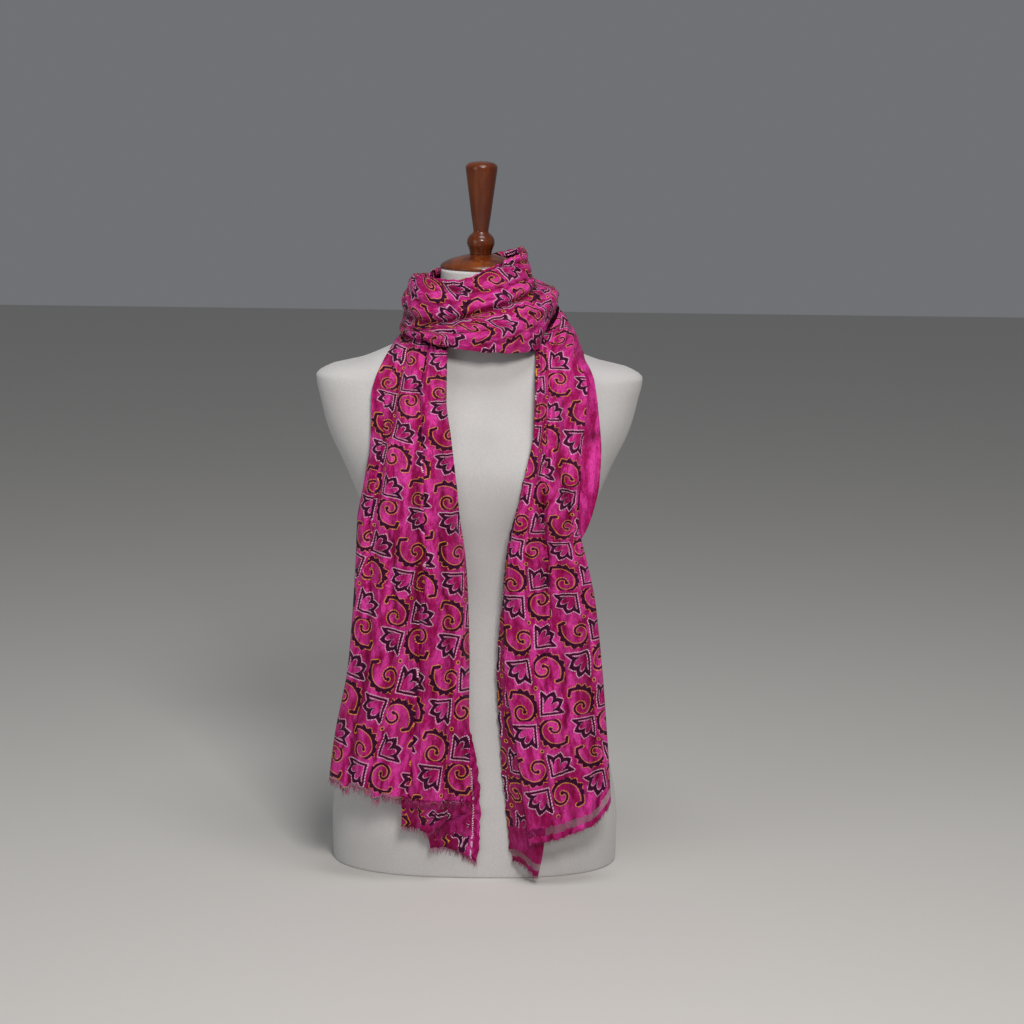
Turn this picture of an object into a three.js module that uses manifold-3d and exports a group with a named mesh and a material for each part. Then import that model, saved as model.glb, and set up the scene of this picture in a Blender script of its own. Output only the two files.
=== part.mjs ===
// A stitched silk shawl worn on a counter-top dress form: one turn round the neck, both ends hanging in front.
// Millimetres, +Z up. The form faces -Y and its flat foot lies on z = 0, with the origin at the foot's middle.
import * as THREE from "three";
import { mergeVertices } from "three/addons/utils/BufferGeometryUtils.js";
import Module from "manifold-3d";

const wasm = await Module();
wasm.setup();

// Driving dimensions
const CLOTH = 1.4; // wall of every cloth solid
const SEAM = 0.3; // gap between pieces that meet
const LAYER_GAP = 1; // air between folded layers
const NECK_TOP = 716; // height of the form without its wooden top
const CAP_RADIUS = 47.8;
const CAP_HEIGHT = 16.4;
const FINIAL_TOP = 842;
const BODY_POWER = 2.5; // squareness of the form's level sections
const BUST = { x: 82, z: 470, width: 42, height: 55, depth: 24 };
const BODY_CLEARANCE = 7.6; // from the form to the middle of a drape's front layer

// Level sections of the form: half width, and how far the front and the back lie from the middle
const BODY = [
  { z: 0, half: 172, front: 108, back: 104 },
  { z: 50, half: 173, front: 110, back: 112 },
  { z: 120, half: 163, front: 108, back: 112 },
  { z: 190, half: 144, front: 102, back: 98 },
  { z: 260, half: 125, front: 93, back: 80 },
  { z: 330, half: 116, front: 86, back: 70 },
  { z: 390, half: 122, front: 90, back: 70 },
  { z: 437, half: 140, front: 98, back: 78 },
  { z: 480, half: 158, front: 102, back: 86 },
  { z: 528, half: 180, front: 94, back: 92 },
  { z: 562, half: 189, front: 84, back: 92 },
  { z: 588, half: 194, front: 74, back: 88 },
  { z: 598, half: 180, front: 69, back: 84 },
  { z: 606, half: 146, front: 66, back: 80 },
  { z: 617, half: 118, front: 62, back: 75 },
  { z: 630, half: 93, front: 58, back: 68 },
  { z: 646, half: 70, front: 53, back: 60 },
  { z: 666, half: 54, front: 49, back: 52 },
  { z: 690, half: 48, front: 47, back: 48 },
  { z: NECK_TOP, half: 46.5, front: 46.5, back: 46.5 },
];

// How a hanging drape lies before it is pleated: at the ridge the cloth is `front` before the form's middle,
// and it falls back by `fall` at 75 mm to the side of the ridge.
const DRAPE_LIE = [
  { z: 0, front: 139, ridge: 90, fall: 22 },
  { z: 100, front: 138, ridge: 88, fall: 24 },
  { z: 250, front: 137, ridge: 84, fall: 29 },
  { z: 350, front: 136, ridge: 80, fall: 35 },
  { z: 430, front: 135, ridge: 77, fall: 43 },
  { z: 470, front: 133, ridge: 75, fall: 48 },
  { z: 500, front: 128, ridge: 72, fall: 52 },
  { z: 530, front: 120, ridge: 66, fall: 58 },
  { z: 560, front: 111, ridge: 58, fall: 64 },
  { z: 590, front: 101, ridge: 50, fall: 72 },
  { z: 610, front: 93, ridge: 44, fall: 80 },
  { z: 630, front: 78, ridge: 38, fall: 88 },
  { z: 650, front: 69, ridge: 33, fall: 92 },
  { z: 680, front: 60, ridge: 28, fall: 92 },
];
const FALL_REACH = 75;

// Edges of the left drape, as x from its middle line; the viewer's left is -x
const LEFT_EDGES = [
  { z: 0, inner: -2, outer: -173 },
  { z: 110, inner: -4, outer: -172 },
  { z: 143, inner: -5, outer: -169 },
  { z: 179, inner: -6, outer: -164 },
  { z: 215, inner: -7, outer: -157 },
  { z: 253, inner: -7, outer: -150 },
  { z: 328, inner: -9, outer: -144 },
  { z: 388, inner: -13, outer: -141 },
  { z: 427, inner: -19, outer: -140 },
  { z: 475, inner: -24, outer: -132 },
  { z: 529, inner: -31, outer: -125 },
  { z: 572, inner: -37, outer: -125 },
  { z: 592, inner: -37, outer: -121 },
  { z: 612, inner: -37, outer: -112 },
  { z: 631, inner: -36, outer: -100 },
  { z: 650, inner: -34, outer: -84 },
  { z: 664, inner: -32, outer: -76 },
];

// Edges of the right drape. Its front layer ends in a fold at `ridge`; the layer under it shows from there
// to `inner`, turned away from the viewer by `turn`, and hides in front of `under`.
const RIGHT_EDGES = [
  { z: 0, inner: 46, ridge: 72, outer: 164, turn: 21, under: 74 },
  { z: 47, inner: 39, ridge: 66, outer: 164, turn: 20, under: 83 },
  { z: 77, inner: 36, ridge: 62, outer: 163, turn: 20, under: 85 },
  { z: 128, inner: 30, ridge: 55, outer: 160, turn: 19, under: 84 },
  { z: 202, inner: 24, ridge: 43, outer: 154, turn: 16, under: 76 },
  { z: 247, inner: 21, ridge: 35, outer: 150, turn: 14, under: 68 },
  { z: 302, inner: 23, ridge: 33, outer: 144, turn: 11, under: 62 },
  { z: 340, inner: 26, ridge: 33, outer: 139, turn: 9, under: 60 },
  { z: 385, inner: 29, ridge: 36, outer: 129, turn: 8, under: 62 },
  { z: 416, inner: 34, ridge: 41, outer: 121, turn: 8, under: 66 },
  { z: 433, inner: 38, ridge: 44, outer: 118, turn: 7, under: 68 },
  { z: 454, inner: 43, ridge: 49, outer: 119, turn: 7, under: 72 },
  { z: 488, inner: 50, ridge: 55, outer: 120, turn: 6, under: 76 },
  { z: 538, inner: 61, ridge: 65, outer: 124, turn: 5, under: 84 },
  { z: 582, inner: 64, ridge: 68, outer: 127, turn: 4, under: 84 },
  { z: 606, inner: 65, ridge: 69, outer: 121, turn: 4, under: 82 },
  { z: 629, inner: 67, ridge: 70, outer: 110, turn: 3, under: 80 },
  { z: 664, inner: 66, ridge: 69, outer: 96, turn: 2, under: 76 },
];

// The folded layers behind the left drape's front layer
const LEFT_MIDDLE_EDGES = [
  { z: 0, inner: -6, outer: -80 },
  { z: 60, inner: -7, outer: -84 },
  { z: 110, inner: -9, outer: -84 },
  { z: 250, inner: -26, outer: -88 },
  { z: 400, inner: -36, outer: -94 },
  { z: 560, inner: -52, outer: -96 },
  { z: 664, inner: -46, outer: -66 },
];
const LEFT_BACK_EDGES = [
  { z: 0, inner: 3, outer: -47 },
  { z: 38, inner: 6, outer: -50 },
  { z: 77, inner: 8, outer: -53 },
  { z: 128, inner: 5, outer: -55 },
  { z: 166, inner: -2, outer: -56 },
  { z: 204, inner: -12, outer: -57 },
  { z: 260, inner: -27, outer: -60 },
  { z: 400, inner: -36, outer: -61 },
  { z: 560, inner: -44, outer: -61 },
  { z: 664, inner: -42, outer: -58 },
];

// The plain selvedge that shows beyond the right drape's outer fold
const SELVEDGE_EDGES = [
  { z: 408, outer: 119 },
  { z: 424, outer: 128 },
  { z: 451, outer: 137 },
  { z: 476, outer: 142 },
  { z: 514, outer: 144 },
  { z: 559, outer: 140 },
  { z: 593, outer: 135 },
  { z: 622, outer: 125 },
  { z: 640, outer: 114 },
  { z: 655, outer: 100 },
  { z: 664, outer: 90 },
];
const SELVEDGE_HIDDEN = 10; // of its width behind the drape

// Folds of the drapes: `at` is the share of the way from inner to outer edge, `deep` how far the valley lies back,
// `wide` its half width as a share.
const LEFT_FOLDS = [
  [
    { z: 0, at: 0.42, deep: 9, wide: 0.09 },
    { z: 200, at: 0.43, deep: 11, wide: 0.08 },
    { z: 330, at: 0.46, deep: 13, wide: 0.07 },
    { z: 420, at: 0.42, deep: 9, wide: 0.08 },
    { z: 480, at: 0.38, deep: 7, wide: 0.08 },
    { z: 560, at: 0.38, deep: 10, wide: 0.08 },
    { z: 660, at: 0.37, deep: 9, wide: 0.1 },
  ],
  [
    { z: 0, at: 0.14, deep: 3, wide: 0.07 },
    { z: 250, at: 0.16, deep: 6, wide: 0.06 },
    { z: 400, at: 0.21, deep: 8, wide: 0.07 },
    { z: 600, at: 0.12, deep: 6, wide: 0.08 },
    { z: 660, at: 0.12, deep: 3, wide: 0.08 },
  ],
  [
    { z: 0, at: 0.67, deep: 6, wide: 0.08 },
    { z: 200, at: 0.63, deep: 7, wide: 0.08 },
    { z: 400, at: 0.64, deep: 6, wide: 0.07 },
    { z: 480, at: 0.64, deep: 2, wide: 0.06 },
    { z: 560, at: 0.6, deep: 0, wide: 0.06 },
  ],
  [
    { z: 0, at: 0.86, deep: 6, wide: 0.06 },
    { z: 200, at: 0.85, deep: 7, wide: 0.06 },
    { z: 330, at: 0.84, deep: 5, wide: 0.06 },
    { z: 480, at: 0.83, deep: 9, wide: 0.07 },
    { z: 600, at: 0.77, deep: 9, wide: 0.09 },
    { z: 660, at: 0.75, deep: 5, wide: 0.09 },
  ],
];
const RIGHT_FOLDS = [
  [
    { z: 200, at: 0.44, deep: 0, wide: 0.09 },
    { z: 300, at: 0.46, deep: 6, wide: 0.07 },
    { z: 385, at: 0.48, deep: 10, wide: 0.07 },
    { z: 480, at: 0.33, deep: 12, wide: 0.08 },
    { z: 548, at: 0.18, deep: 9, wide: 0.09 },
    { z: 640, at: 0.2, deep: 6, wide: 0.1 },
  ],
  [
    { z: 380, at: 0.92, deep: 0, wide: 0.07 },
    { z: 430, at: 0.88, deep: 6, wide: 0.08 },
    { z: 465, at: 0.76, deep: 9, wide: 0.09 },
    { z: 510, at: 0.57, deep: 11, wide: 0.11 },
    { z: 600, at: 0.6, deep: 9, wide: 0.12 },
    { z: 650, at: 0.6, deep: 5, wide: 0.12 },
  ],
  [
    { z: 0, at: 0.5, deep: 3, wide: 0.14 },
    { z: 120, at: 0.56, deep: 4, wide: 0.12 },
    { z: 250, at: 0.62, deep: 6, wide: 0.09 },
    { z: 340, at: 0.66, deep: 5, wide: 0.08 },
    { z: 420, at: 0.68, deep: 0, wide: 0.08 },
  ],
  [
    { z: 0, at: 0.84, deep: 5, wide: 0.07 },
    { z: 150, at: 0.84, deep: 6, wide: 0.07 },
    { z: 300, at: 0.86, deep: 4, wide: 0.07 },
    { z: 380, at: 0.88, deep: 0, wide: 0.07 },
  ],
];
// How far a drape's inner edge curls back towards the form
const INNER_ROLL = [
  { z: 0, left: 1, right: 2 },
  { z: 200, left: 2, right: 2.5 },
  { z: 300, left: 6, right: 3 },
  { z: 664, left: 8, right: 3 },
];
const OUTER_ROLL = { left: 8, right: 4 };
const ROLL_SHARE = 0.08; // of the drape's width that curls

// The cloth's turn round the neck, by the direction from the neck's middle: 0 is the front and 90 the viewer's right.
// The strand starts on the left behind the front band, runs behind the neck to the right, over the front to the left
// and behind the neck again to the right. A long crease parts its upper from its lower lobe.
const NECK_TURN = [
  { bearing: 262, topR: 57, topZ: 713, upR: 62, creaseR: 62, creaseZ: 690, lobeR: 67, lobeZ: 676, lowR: 67, lowZ: 664 },
  { bearing: 225, topR: 56, topZ: 716, upR: 62, creaseR: 62, creaseZ: 691, lobeR: 68, lobeZ: 676, lowR: 67, lowZ: 662 },
  { bearing: 180, topR: 55, topZ: 726, upR: 63, creaseR: 62, creaseZ: 698, lobeR: 69, lobeZ: 681, lowR: 67, lowZ: 664 },
  { bearing: 135, topR: 54, topZ: 736, upR: 62, creaseR: 64, creaseZ: 704, lobeR: 77, lobeZ: 692, lowR: 75, lowZ: 668 },
  { bearing: 112, topR: 53, topZ: 740, upR: 58, creaseR: 65, creaseZ: 704, lobeR: 88, lobeZ: 692, lowR: 86, lowZ: 667 },
  { bearing: 90, topR: 52, topZ: 740, upR: 57, creaseR: 65, creaseZ: 703, lobeR: 91, lobeZ: 690, lowR: 88, lowZ: 664 },
  { bearing: 72, topR: 54, topZ: 739, upR: 62, creaseR: 70, creaseZ: 700, lobeR: 91, lobeZ: 684, lowR: 89, lowZ: 661 },
  { bearing: 58, topR: 56, topZ: 737, upR: 67, creaseR: 77, creaseZ: 696, lobeR: 93, lobeZ: 676, lowR: 91, lowZ: 648 },
  { bearing: 46, topR: 57, topZ: 735, upR: 70, creaseR: 81, creaseZ: 692, lobeR: 95, lobeZ: 668, lowR: 94, lowZ: 629 },
  { bearing: 28, topR: 58, topZ: 729, upR: 74, creaseR: 83, creaseZ: 685, lobeR: 97, lobeZ: 661, lowR: 95, lowZ: 627 },
  { bearing: 4, topR: 60, topZ: 719, upR: 77, creaseR: 84, creaseZ: 675, lobeR: 97, lobeZ: 652, lowR: 94, lowZ: 628 },
  { bearing: -12, topR: 62, topZ: 711, upR: 79, creaseR: 86, creaseZ: 667, lobeR: 96, lobeZ: 649, lowR: 94, lowZ: 630 },
  { bearing: -30, topR: 65, topZ: 707, upR: 83, creaseR: 88, creaseZ: 658, lobeR: 96, lobeZ: 646, lowR: 94, lowZ: 634 },
  { bearing: -52, topR: 71, topZ: 708, upR: 88, creaseR: 91, creaseZ: 652, lobeR: 96, lobeZ: 645, lowR: 95, lowZ: 638 },
  { bearing: -80, topR: 79, topZ: 708, upR: 92, creaseR: 92, creaseZ: 652, lobeR: 95, lobeZ: 647, lowR: 95, lowZ: 641 },
  { bearing: -110, topR: 80, topZ: 706, upR: 92, creaseR: 91, creaseZ: 660, lobeR: 95, lobeZ: 650, lowR: 95, lowZ: 641 },
  { bearing: -180, topR: 79, topZ: 700, upR: 88, creaseR: 86, creaseZ: 670, lobeR: 94, lobeZ: 655, lowR: 95, lowZ: 636 },
  { bearing: -225, topR: 84, topZ: 690, upR: 92, creaseR: 92, creaseZ: 666, lobeR: 100, lobeZ: 650, lowR: 103, lowZ: 630 },
];
const TURN_STRETCHES = [
  { name: "neck_back_inner", from: 262, to: 114.4, columns: 16, rows: 9 },
  { name: "neck_front", from: 114, to: -97, columns: 36, rows: 14 },
  { name: "neck_back_outer", from: -97.4, to: -225, columns: 16, rows: 10 },
];
const TURN_COLUMNS = ["topR", "topZ", "upR", "creaseR", "creaseZ", "lobeR", "lobeZ", "lowR", "lowZ"];

// Where the strand crosses a shoulder between the turn and a drape: its edge by the neck and its outer edge,
// and how far it bulges between them. The drape itself follows the last row.
const SHOULDER_LEFT = [
  { neckX: -56.6, neckY: 7.1, neckZ: 711, outX: -67.5, outY: 8.5, outZ: 666, bulge: 2 },
  { neckX: -50, neckY: -36, neckZ: 694, outX: -78, outY: -5, outZ: 661, bulge: 3 },
];
const SHOULDER_RIGHT = [
  { neckX: 59.6, neckY: 58.6, neckZ: 689, outX: 74, outY: 73, outZ: 630, bulge: 6 },
  { neckX: 82, neckY: 41, neckZ: 680, outX: 101, outY: 48, outZ: 627, bulge: 5 },
  { neckX: 92, neckY: 12, neckZ: 671, outX: 115, outY: 18, outZ: 625, bulge: 5 },
  { neckX: 91, neckY: -20, neckZ: 660, outX: 121, outY: -8, outZ: 620, bulge: 5 },
  { neckX: 78, neckY: -46, neckZ: 640, outX: 125, outY: -30, outZ: 614, bulge: 5 },
];

// Lower edges of the cloth, by x, without the fringe
const HEMS = {
  leftFront: [
    { x: -175, z: 117 },
    { x: -153, z: 115 },
    { x: -118, z: 110 },
    { x: -84, z: 101 },
    { x: -40, z: 96 },
    { x: 0, z: 93 },
  ],
  leftMiddle: [
    { x: -86, z: 69 },
    { x: -70, z: 66 },
    { x: -54, z: 60 },
    { x: -40, z: 66 },
    { x: -16, z: 79 },
    { x: 0, z: 84 },
  ],
  leftBack: [
    { x: -52, z: 40 },
    { x: -36, z: 40 },
    { x: -22, z: 36 },
    { x: 6, z: 20 },
  ],
  rightFront: [
    { x: 64, z: 50 },
    { x: 83, z: 54 },
    { x: 125, z: 65 },
    { x: 146, z: 74 },
    { x: 158, z: 88 },
    { x: 165, z: 98 },
  ],
  rightBack: [
    { x: 38, z: 24 },
    { x: 50, z: 24 },
    { x: 60, z: 19 },
    { x: 73, z: 12 },
    { x: 80, z: 11 },
  ],
};
const FRINGE = { strip: 2.2, spacing: 6.4, thick: 1.1, seam: 0.5 };

// A smooth curve through one column of a table, with no overshoot between its rows
function track(rows, by, of) {
  const sorted = [...rows].sort((p, q) => p[by] - q[by]);
  const x = sorted.map((row) => row[by]);
  const y = sorted.map((row) => row[of]);
  const slope = x.slice(1).map((_, i) => (y[i + 1] - y[i]) / (x[i + 1] - x[i]));
  const tangent = x.map((_, i) => {
    if (i === 0) return slope[0];
    if (i === x.length - 1) return slope[i - 1];
    const product = slope[i - 1] * slope[i];
    return product <= 0 ? 0 : (2 * product) / (slope[i - 1] + slope[i]);
  });
  return (value) => {
    const at = Math.min(Math.max(value, x[0]), x[x.length - 1]);
    let i = 0;
    while (i < x.length - 2 && at > x[i + 1]) i += 1;
    const step = x[i + 1] - x[i];
    const t = (at - x[i]) / step;
    return (
      y[i] * (1 + 2 * t) * (1 - t) ** 2 +
      y[i + 1] * t * t * (3 - 2 * t) +
      step * (tangent[i] * t * (1 - t) ** 2 - tangent[i + 1] * t * t * (1 - t))
    );
  };
}

const mix = (a, b, t) => a + (b - a) * t;
const clamp = (t) => Math.min(Math.max(t, 0), 1);
const share = (n) => Array.from({ length: n + 1 }, (_, i) => i / n);
const smoothMax = (a, b, soft) => (a + b + Math.sqrt((a - b) ** 2 + soft ** 2)) / 2;

// The form

const bodyHalf = track(BODY, "z", "half");
const bodyFront = track(BODY, "z", "front");
const bodyBack = track(BODY, "z", "back");

function bustDepth(x, z) {
  const side = (Math.abs(x) - BUST.x) / BUST.width;
  const up = (z - BUST.z) / BUST.height;
  return BUST.depth * Math.exp(-side * side - up * up);
}

function bodyPoint(angle, z) {
  const c = Math.cos(angle);
  const s = Math.sin(angle);
  const x = bodyHalf(z) * Math.sign(c) * Math.abs(c) ** (2 / BODY_POWER);
  const reach = Math.abs(s) ** (2 / BODY_POWER);
  if (s >= 0) return new THREE.Vector3(x, bodyBack(z) * reach, z);
  return new THREE.Vector3(x, -(bodyFront(z) + bustDepth(x, z)) * reach, z);
}

// How far the form's front lies before its middle at x, z, and 0 past its sides
function bodyReach(x, z) {
  const side = Math.abs(x) / bodyHalf(z);
  if (side >= 1) return 0;
  return (bodyFront(z) + bustDepth(x, z)) * (1 - side ** BODY_POWER) ** (1 / BODY_POWER);
}

function closedGeometry(points, triangles) {
  const position = new Float32Array(points.flatMap((p) => [p.x, p.y, p.z]));
  let volume = 0;
  for (const [a, b, c] of triangles)
    volume += points[a].dot(new THREE.Vector3().crossVectors(points[b], points[c]));
  const index = triangles.flatMap(([a, b, c]) => (volume < 0 ? [a, c, b] : [a, b, c]));
  return new THREE.BufferGeometry()
    .setAttribute("position", new THREE.BufferAttribute(position, 3))
    .setIndex(index);
}

function bodyGeometry(around, levels) {
  const points = levels.flatMap((z) =>
    share(around)
      .slice(0, around)
      .map((t) => bodyPoint((t + 0.5 / around) * 2 * Math.PI, z)),
  );
  const triangles = [];
  for (let level = 0; level < levels.length - 1; level += 1)
    for (let i = 0; i < around; i += 1) {
      const a = level * around + i;
      const b = level * around + ((i + 1) % around);
      triangles.push([a, b, b + around], [a, b + around, a + around]);
    }
  const top = (levels.length - 1) * around;
  for (let i = 1; i < around - 1; i += 1) {
    triangles.push([0, i + 1, i]);
    triangles.push([top, top + i, top + i + 1]);
  }
  return closedGeometry(points, triangles);
}

// Cloth walls

// The unit normal of a surface at(c, r), both from 0 to 1, by small steps along both ways
const STEP = 1e-3;

function normalAt(at, c, r) {
  const across = at(Math.min(c + STEP, 1), r).sub(at(Math.max(c - STEP, 0), r));
  const down = at(c, Math.min(r + STEP, 1)).sub(at(c, Math.max(r - STEP, 0)));
  return across.cross(down).normalize();
}

// A closed wall on a surface: its points moved by `front` and by `back` along the normal, joined round the rim
function wallGeometry(at, columns, rows, front, back) {
  const points = [];
  for (const offset of [front, back])
    for (const r of rows)
      for (const c of columns)
        points.push(at(c, r).add(normalAt(at, c, r).multiplyScalar(offset)));
  const wide = columns.length;
  const tall = rows.length;
  const side = wide * tall;
  const triangles = [];
  for (let j = 0; j < tall - 1; j += 1)
    for (let i = 0; i < wide - 1; i += 1) {
      const a = j * wide + i;
      triangles.push([a, a + 1, a + wide + 1], [a, a + wide + 1, a + wide]);
      triangles.push([side + a, side + a + wide + 1, side + a + 1]);
      triangles.push([side + a, side + a + wide, side + a + wide + 1]);
    }
  const rim = [];
  for (let i = 0; i < wide - 1; i += 1) rim.push(i);
  for (let j = 0; j < tall - 1; j += 1) rim.push(j * wide + wide - 1);
  for (let i = wide - 1; i > 0; i -= 1) rim.push((tall - 1) * wide + i);
  for (let j = tall - 1; j > 0; j -= 1) rim.push(j * wide);
  rim.forEach((a, i) => {
    const b = rim[(i + 1) % rim.length];
    triangles.push([a, side + a, b], [b, side + a, side + b]);
  });
  return closedGeometry(points, triangles);
}

// The drapes

const lieFront = track(DRAPE_LIE, "z", "front");
const lieRidge = track(DRAPE_LIE, "z", "ridge");
const lieFall = track(DRAPE_LIE, "z", "fall");

// How far a drape stands before the form's middle with no pleats in it
function drapeLie(x, z) {
  const side = (Math.abs(x) - lieRidge(z)) / FALL_REACH;
  return lieFront(z) - lieFall(z) * side * side;
}

// The y of cloth that would stand `reach` before the middle, kept clear of the form at and beside its place
const BESIDE = { x: 2, z: 3 };

function clearOfBody(x, z, reach, clearance = BODY_CLEARANCE) {
  const beside = bodyReach(Math.abs(x) - BESIDE.x, z - BESIDE.z);
  return -smoothMax(reach, Math.max(bodyReach(x, z), beside) + clearance, 2);
}

// The depth of all folds at a share u of the width, which is 0 on the ridges and grows towards the form
function foldDepth(folds) {
  const tracks = folds.map((rows) => ({
    at: track(rows, "z", "at"),
    deep: track(rows, "z", "deep"),
    wide: track(rows, "z", "wide"),
  }));
  return (u, z) =>
    tracks.reduce((sum, fold) => {
      const off = (u - fold.at(z)) / fold.wide(z);
      return sum + fold.deep(z) * Math.exp(-(off ** 2));
    }, 0);
}

const edges = (rows, ...columns) => Object.fromEntries(columns.map((key) => [key, track(rows, "z", key)]));
const leftEdge = edges(LEFT_EDGES, "inner", "outer");
const rightEdge = edges(RIGHT_EDGES, "inner", "ridge", "outer", "turn", "under");
const leftMiddleEdge = edges(LEFT_MIDDLE_EDGES, "inner", "outer");
const leftBackEdge = edges(LEFT_BACK_EDGES, "inner", "outer");
const innerRoll = edges(INNER_ROLL, "left", "right");
const leftFolds = foldDepth(LEFT_FOLDS);
const rightFolds = foldDepth(RIGHT_FOLDS);

// The curl of both edges of a front layer at a share u of its width
function edgeRoll(u, inner, outer) {
  const atInner = clamp((ROLL_SHARE - u) / ROLL_SHARE);
  const atOuter = clamp((u - 1 + ROLL_SHARE) / ROLL_SHARE);
  return inner * atInner ** 2 + outer * atOuter ** 2;
}

function leftFront(c, z) {
  const x = mix(leftEdge.inner(z), leftEdge.outer(z), c);
  const back = leftFolds(c, z) + edgeRoll(c, innerRoll.left(z), OUTER_ROLL.left);
  return new THREE.Vector3(x, clearOfBody(x, z, drapeLie(x, z) - back), z);
}

// A layer behind the left drape's front, between its own edges, with shallower folds and `air` before it
function leftBehind(edge, pleat, air) {
  return (c, z) => {
    const x = mix(edge.inner(z), edge.outer(z), c);
    const u = (x - leftEdge.inner(z)) / (leftEdge.outer(z) - leftEdge.inner(z));
    const back = leftFolds(u, z) * pleat + air;
    return new THREE.Vector3(x, clearOfBody(x, z, drapeLie(x, z) - back), z);
  };
}

function rightFront(c, z) {
  const x = mix(rightEdge.ridge(z), rightEdge.outer(z), c);
  const back = rightFolds(c, z) + edgeRoll(c, innerRoll.right(z), OUTER_ROLL.right);
  return new THREE.Vector3(x, clearOfBody(x, z, drapeLie(x, z) - back), z);
}

// The layer behind the right drape's front, which turns away from the viewer where it shows beside it
const TURN_ROUNDING = 0.12;
const UNDER_PLEAT = 0.8;

function rightBehind(c, z) {
  const inner = rightEdge.inner(z);
  const ridge = rightEdge.ridge(z);
  const x = mix(inner, rightEdge.under(z), c);
  const covered = Math.max(x, ridge);
  const u = (covered - ridge) / (rightEdge.outer(z) - ridge);
  const turned = Math.max((ridge - x) / (ridge - inner), 0);
  const away = Math.sqrt(turned ** 2 + TURN_ROUNDING ** 2) - TURN_ROUNDING;
  const back = rightFolds(u, z) * UNDER_PLEAT + rightEdge.turn(z) * away;
  return new THREE.Vector3(x, clearOfBody(x, z, drapeLie(covered, z) - back), z);
}

const DRAPE_TOP = { inner: 640, outer: 604 }; // where a front layer meets the strand on the shoulder
const LEFT_TOP = { inner: 648, outer: 640 };
const UNDER_TOP = { inner: 632, outer: 626 };
const LAYER_STEP = CLOTH + LAYER_GAP;
const RIGHT_FOLD_DEPTH = 6.4; // from the right drape's front layer to the one behind it
const ALONG_X = 1;
const AGAINST_X = -1;

// Each layer: its surface by (share of width, z), the z of its top's two ends, its hem, how far it lies behind
// the front layer, and which way its width runs.
const LAYERS = {
  leftFront: { at: leftFront, top: LEFT_TOP, hem: HEMS.leftFront, behind: 0, way: AGAINST_X, columns: 26, rows: 20 },
  leftMiddle: {
    at: leftBehind(leftMiddleEdge, 0.8, 3.6),
    top: UNDER_TOP,
    hem: HEMS.leftMiddle,
    behind: LAYER_STEP,
    way: AGAINST_X,
    columns: 16,
    rows: 18,
  },
  leftBack: {
    at: leftBehind(leftBackEdge, 0.55, 7.4),
    top: UNDER_TOP,
    hem: HEMS.leftBack,
    behind: 2 * LAYER_STEP,
    way: AGAINST_X,
    columns: 12,
    rows: 20,
  },
  rightFront: { at: rightFront, top: DRAPE_TOP, hem: HEMS.rightFront, behind: 0, way: ALONG_X, columns: 26, rows: 20 },
  rightBack: {
    at: rightBehind,
    top: UNDER_TOP,
    hem: HEMS.rightBack,
    behind: RIGHT_FOLD_DEPTH,
    way: ALONG_X,
    columns: 12,
    rows: 15,
  },
};

// A layer by (c, r): c runs over its width and r from its top to its hem
function layerSurface({ at, top, hem }) {
  const hemZ = track(hem, "x", "z");
  return (c, r) => at(c, mix(mix(top.inner, top.outer, c), hemZ(at(c, hem[0].z).x), r));
}

// The offsets along the normal of a layer's two faces
function layerFaces({ behind, way }) {
  return { front: way * (-CLOTH / 2 + behind), back: way * (CLOTH / 2 + behind) };
}

const ROW_SPREAD = 1.35; // rows lie closer near the top, where a drape bends most

function layerGeometry(layer) {
  const { front, back } = layerFaces(layer);
  const rows = share(layer.rows).map((t) => t ** ROW_SPREAD);
  return wallGeometry(layerSurface(layer), share(layer.columns), rows, front, back);
}

// The strand over a shoulder: a smooth run through its stations that ends on the top edge of a drape
function shoulderSurface({ stations, layer, folds, wider }) {
  const drape = layerSurface(layer);
  const foldZ = layer.top.inner;
  const stationPoint = (row, c) => {
    const atNeck = new THREE.Vector3(row.neckX, row.neckY, row.neckZ);
    const atOut = new THREE.Vector3(row.outX, row.outY, row.outZ);
    const across = atOut.clone().sub(atNeck).normalize();
    const out = atNeck.clone().add(atOut).setZ(0).normalize();
    out.addScaledVector(across, -out.dot(across)).normalize();
    const swell = row.bulge * 4 * c * (1 - c) - folds(c * wider, foldZ) * SHOULDER_PLEAT;
    return atNeck.lerp(atOut, c).addScaledVector(out, swell);
  };
  return (c, r) => {
    const run = [...stations.map((row) => stationPoint(row, c)), drape(c * wider, 0), drape(c * wider, NEXT_ROW)];
    const last = stations.length / (run.length - 1);
    return new THREE.CatmullRomCurve3(run).getPoint(r * last * SHOULDER_END);
  };
}
const SHOULDER_PLEAT = 0.5; // how much of a drape's fold depth is left on the shoulder
const NEXT_ROW = 0.05;
const SHOULDER_END = 0.982;

// The selvedge strip lies behind the right drape's outer edge and reaches beyond it
const selvedgeOuter = track(SELVEDGE_EDGES, "z", "outer");
const SELVEDGE = { low: SELVEDGE_EDGES[0].z, high: { inner: 601, outer: 593.2 }, clearance: 3.9, behind: 7, curl: 6 };
const SELVEDGE_LIFT = { from: 0.45, rows: 0.2 }; // its outer top rises to the strand that it continues

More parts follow.
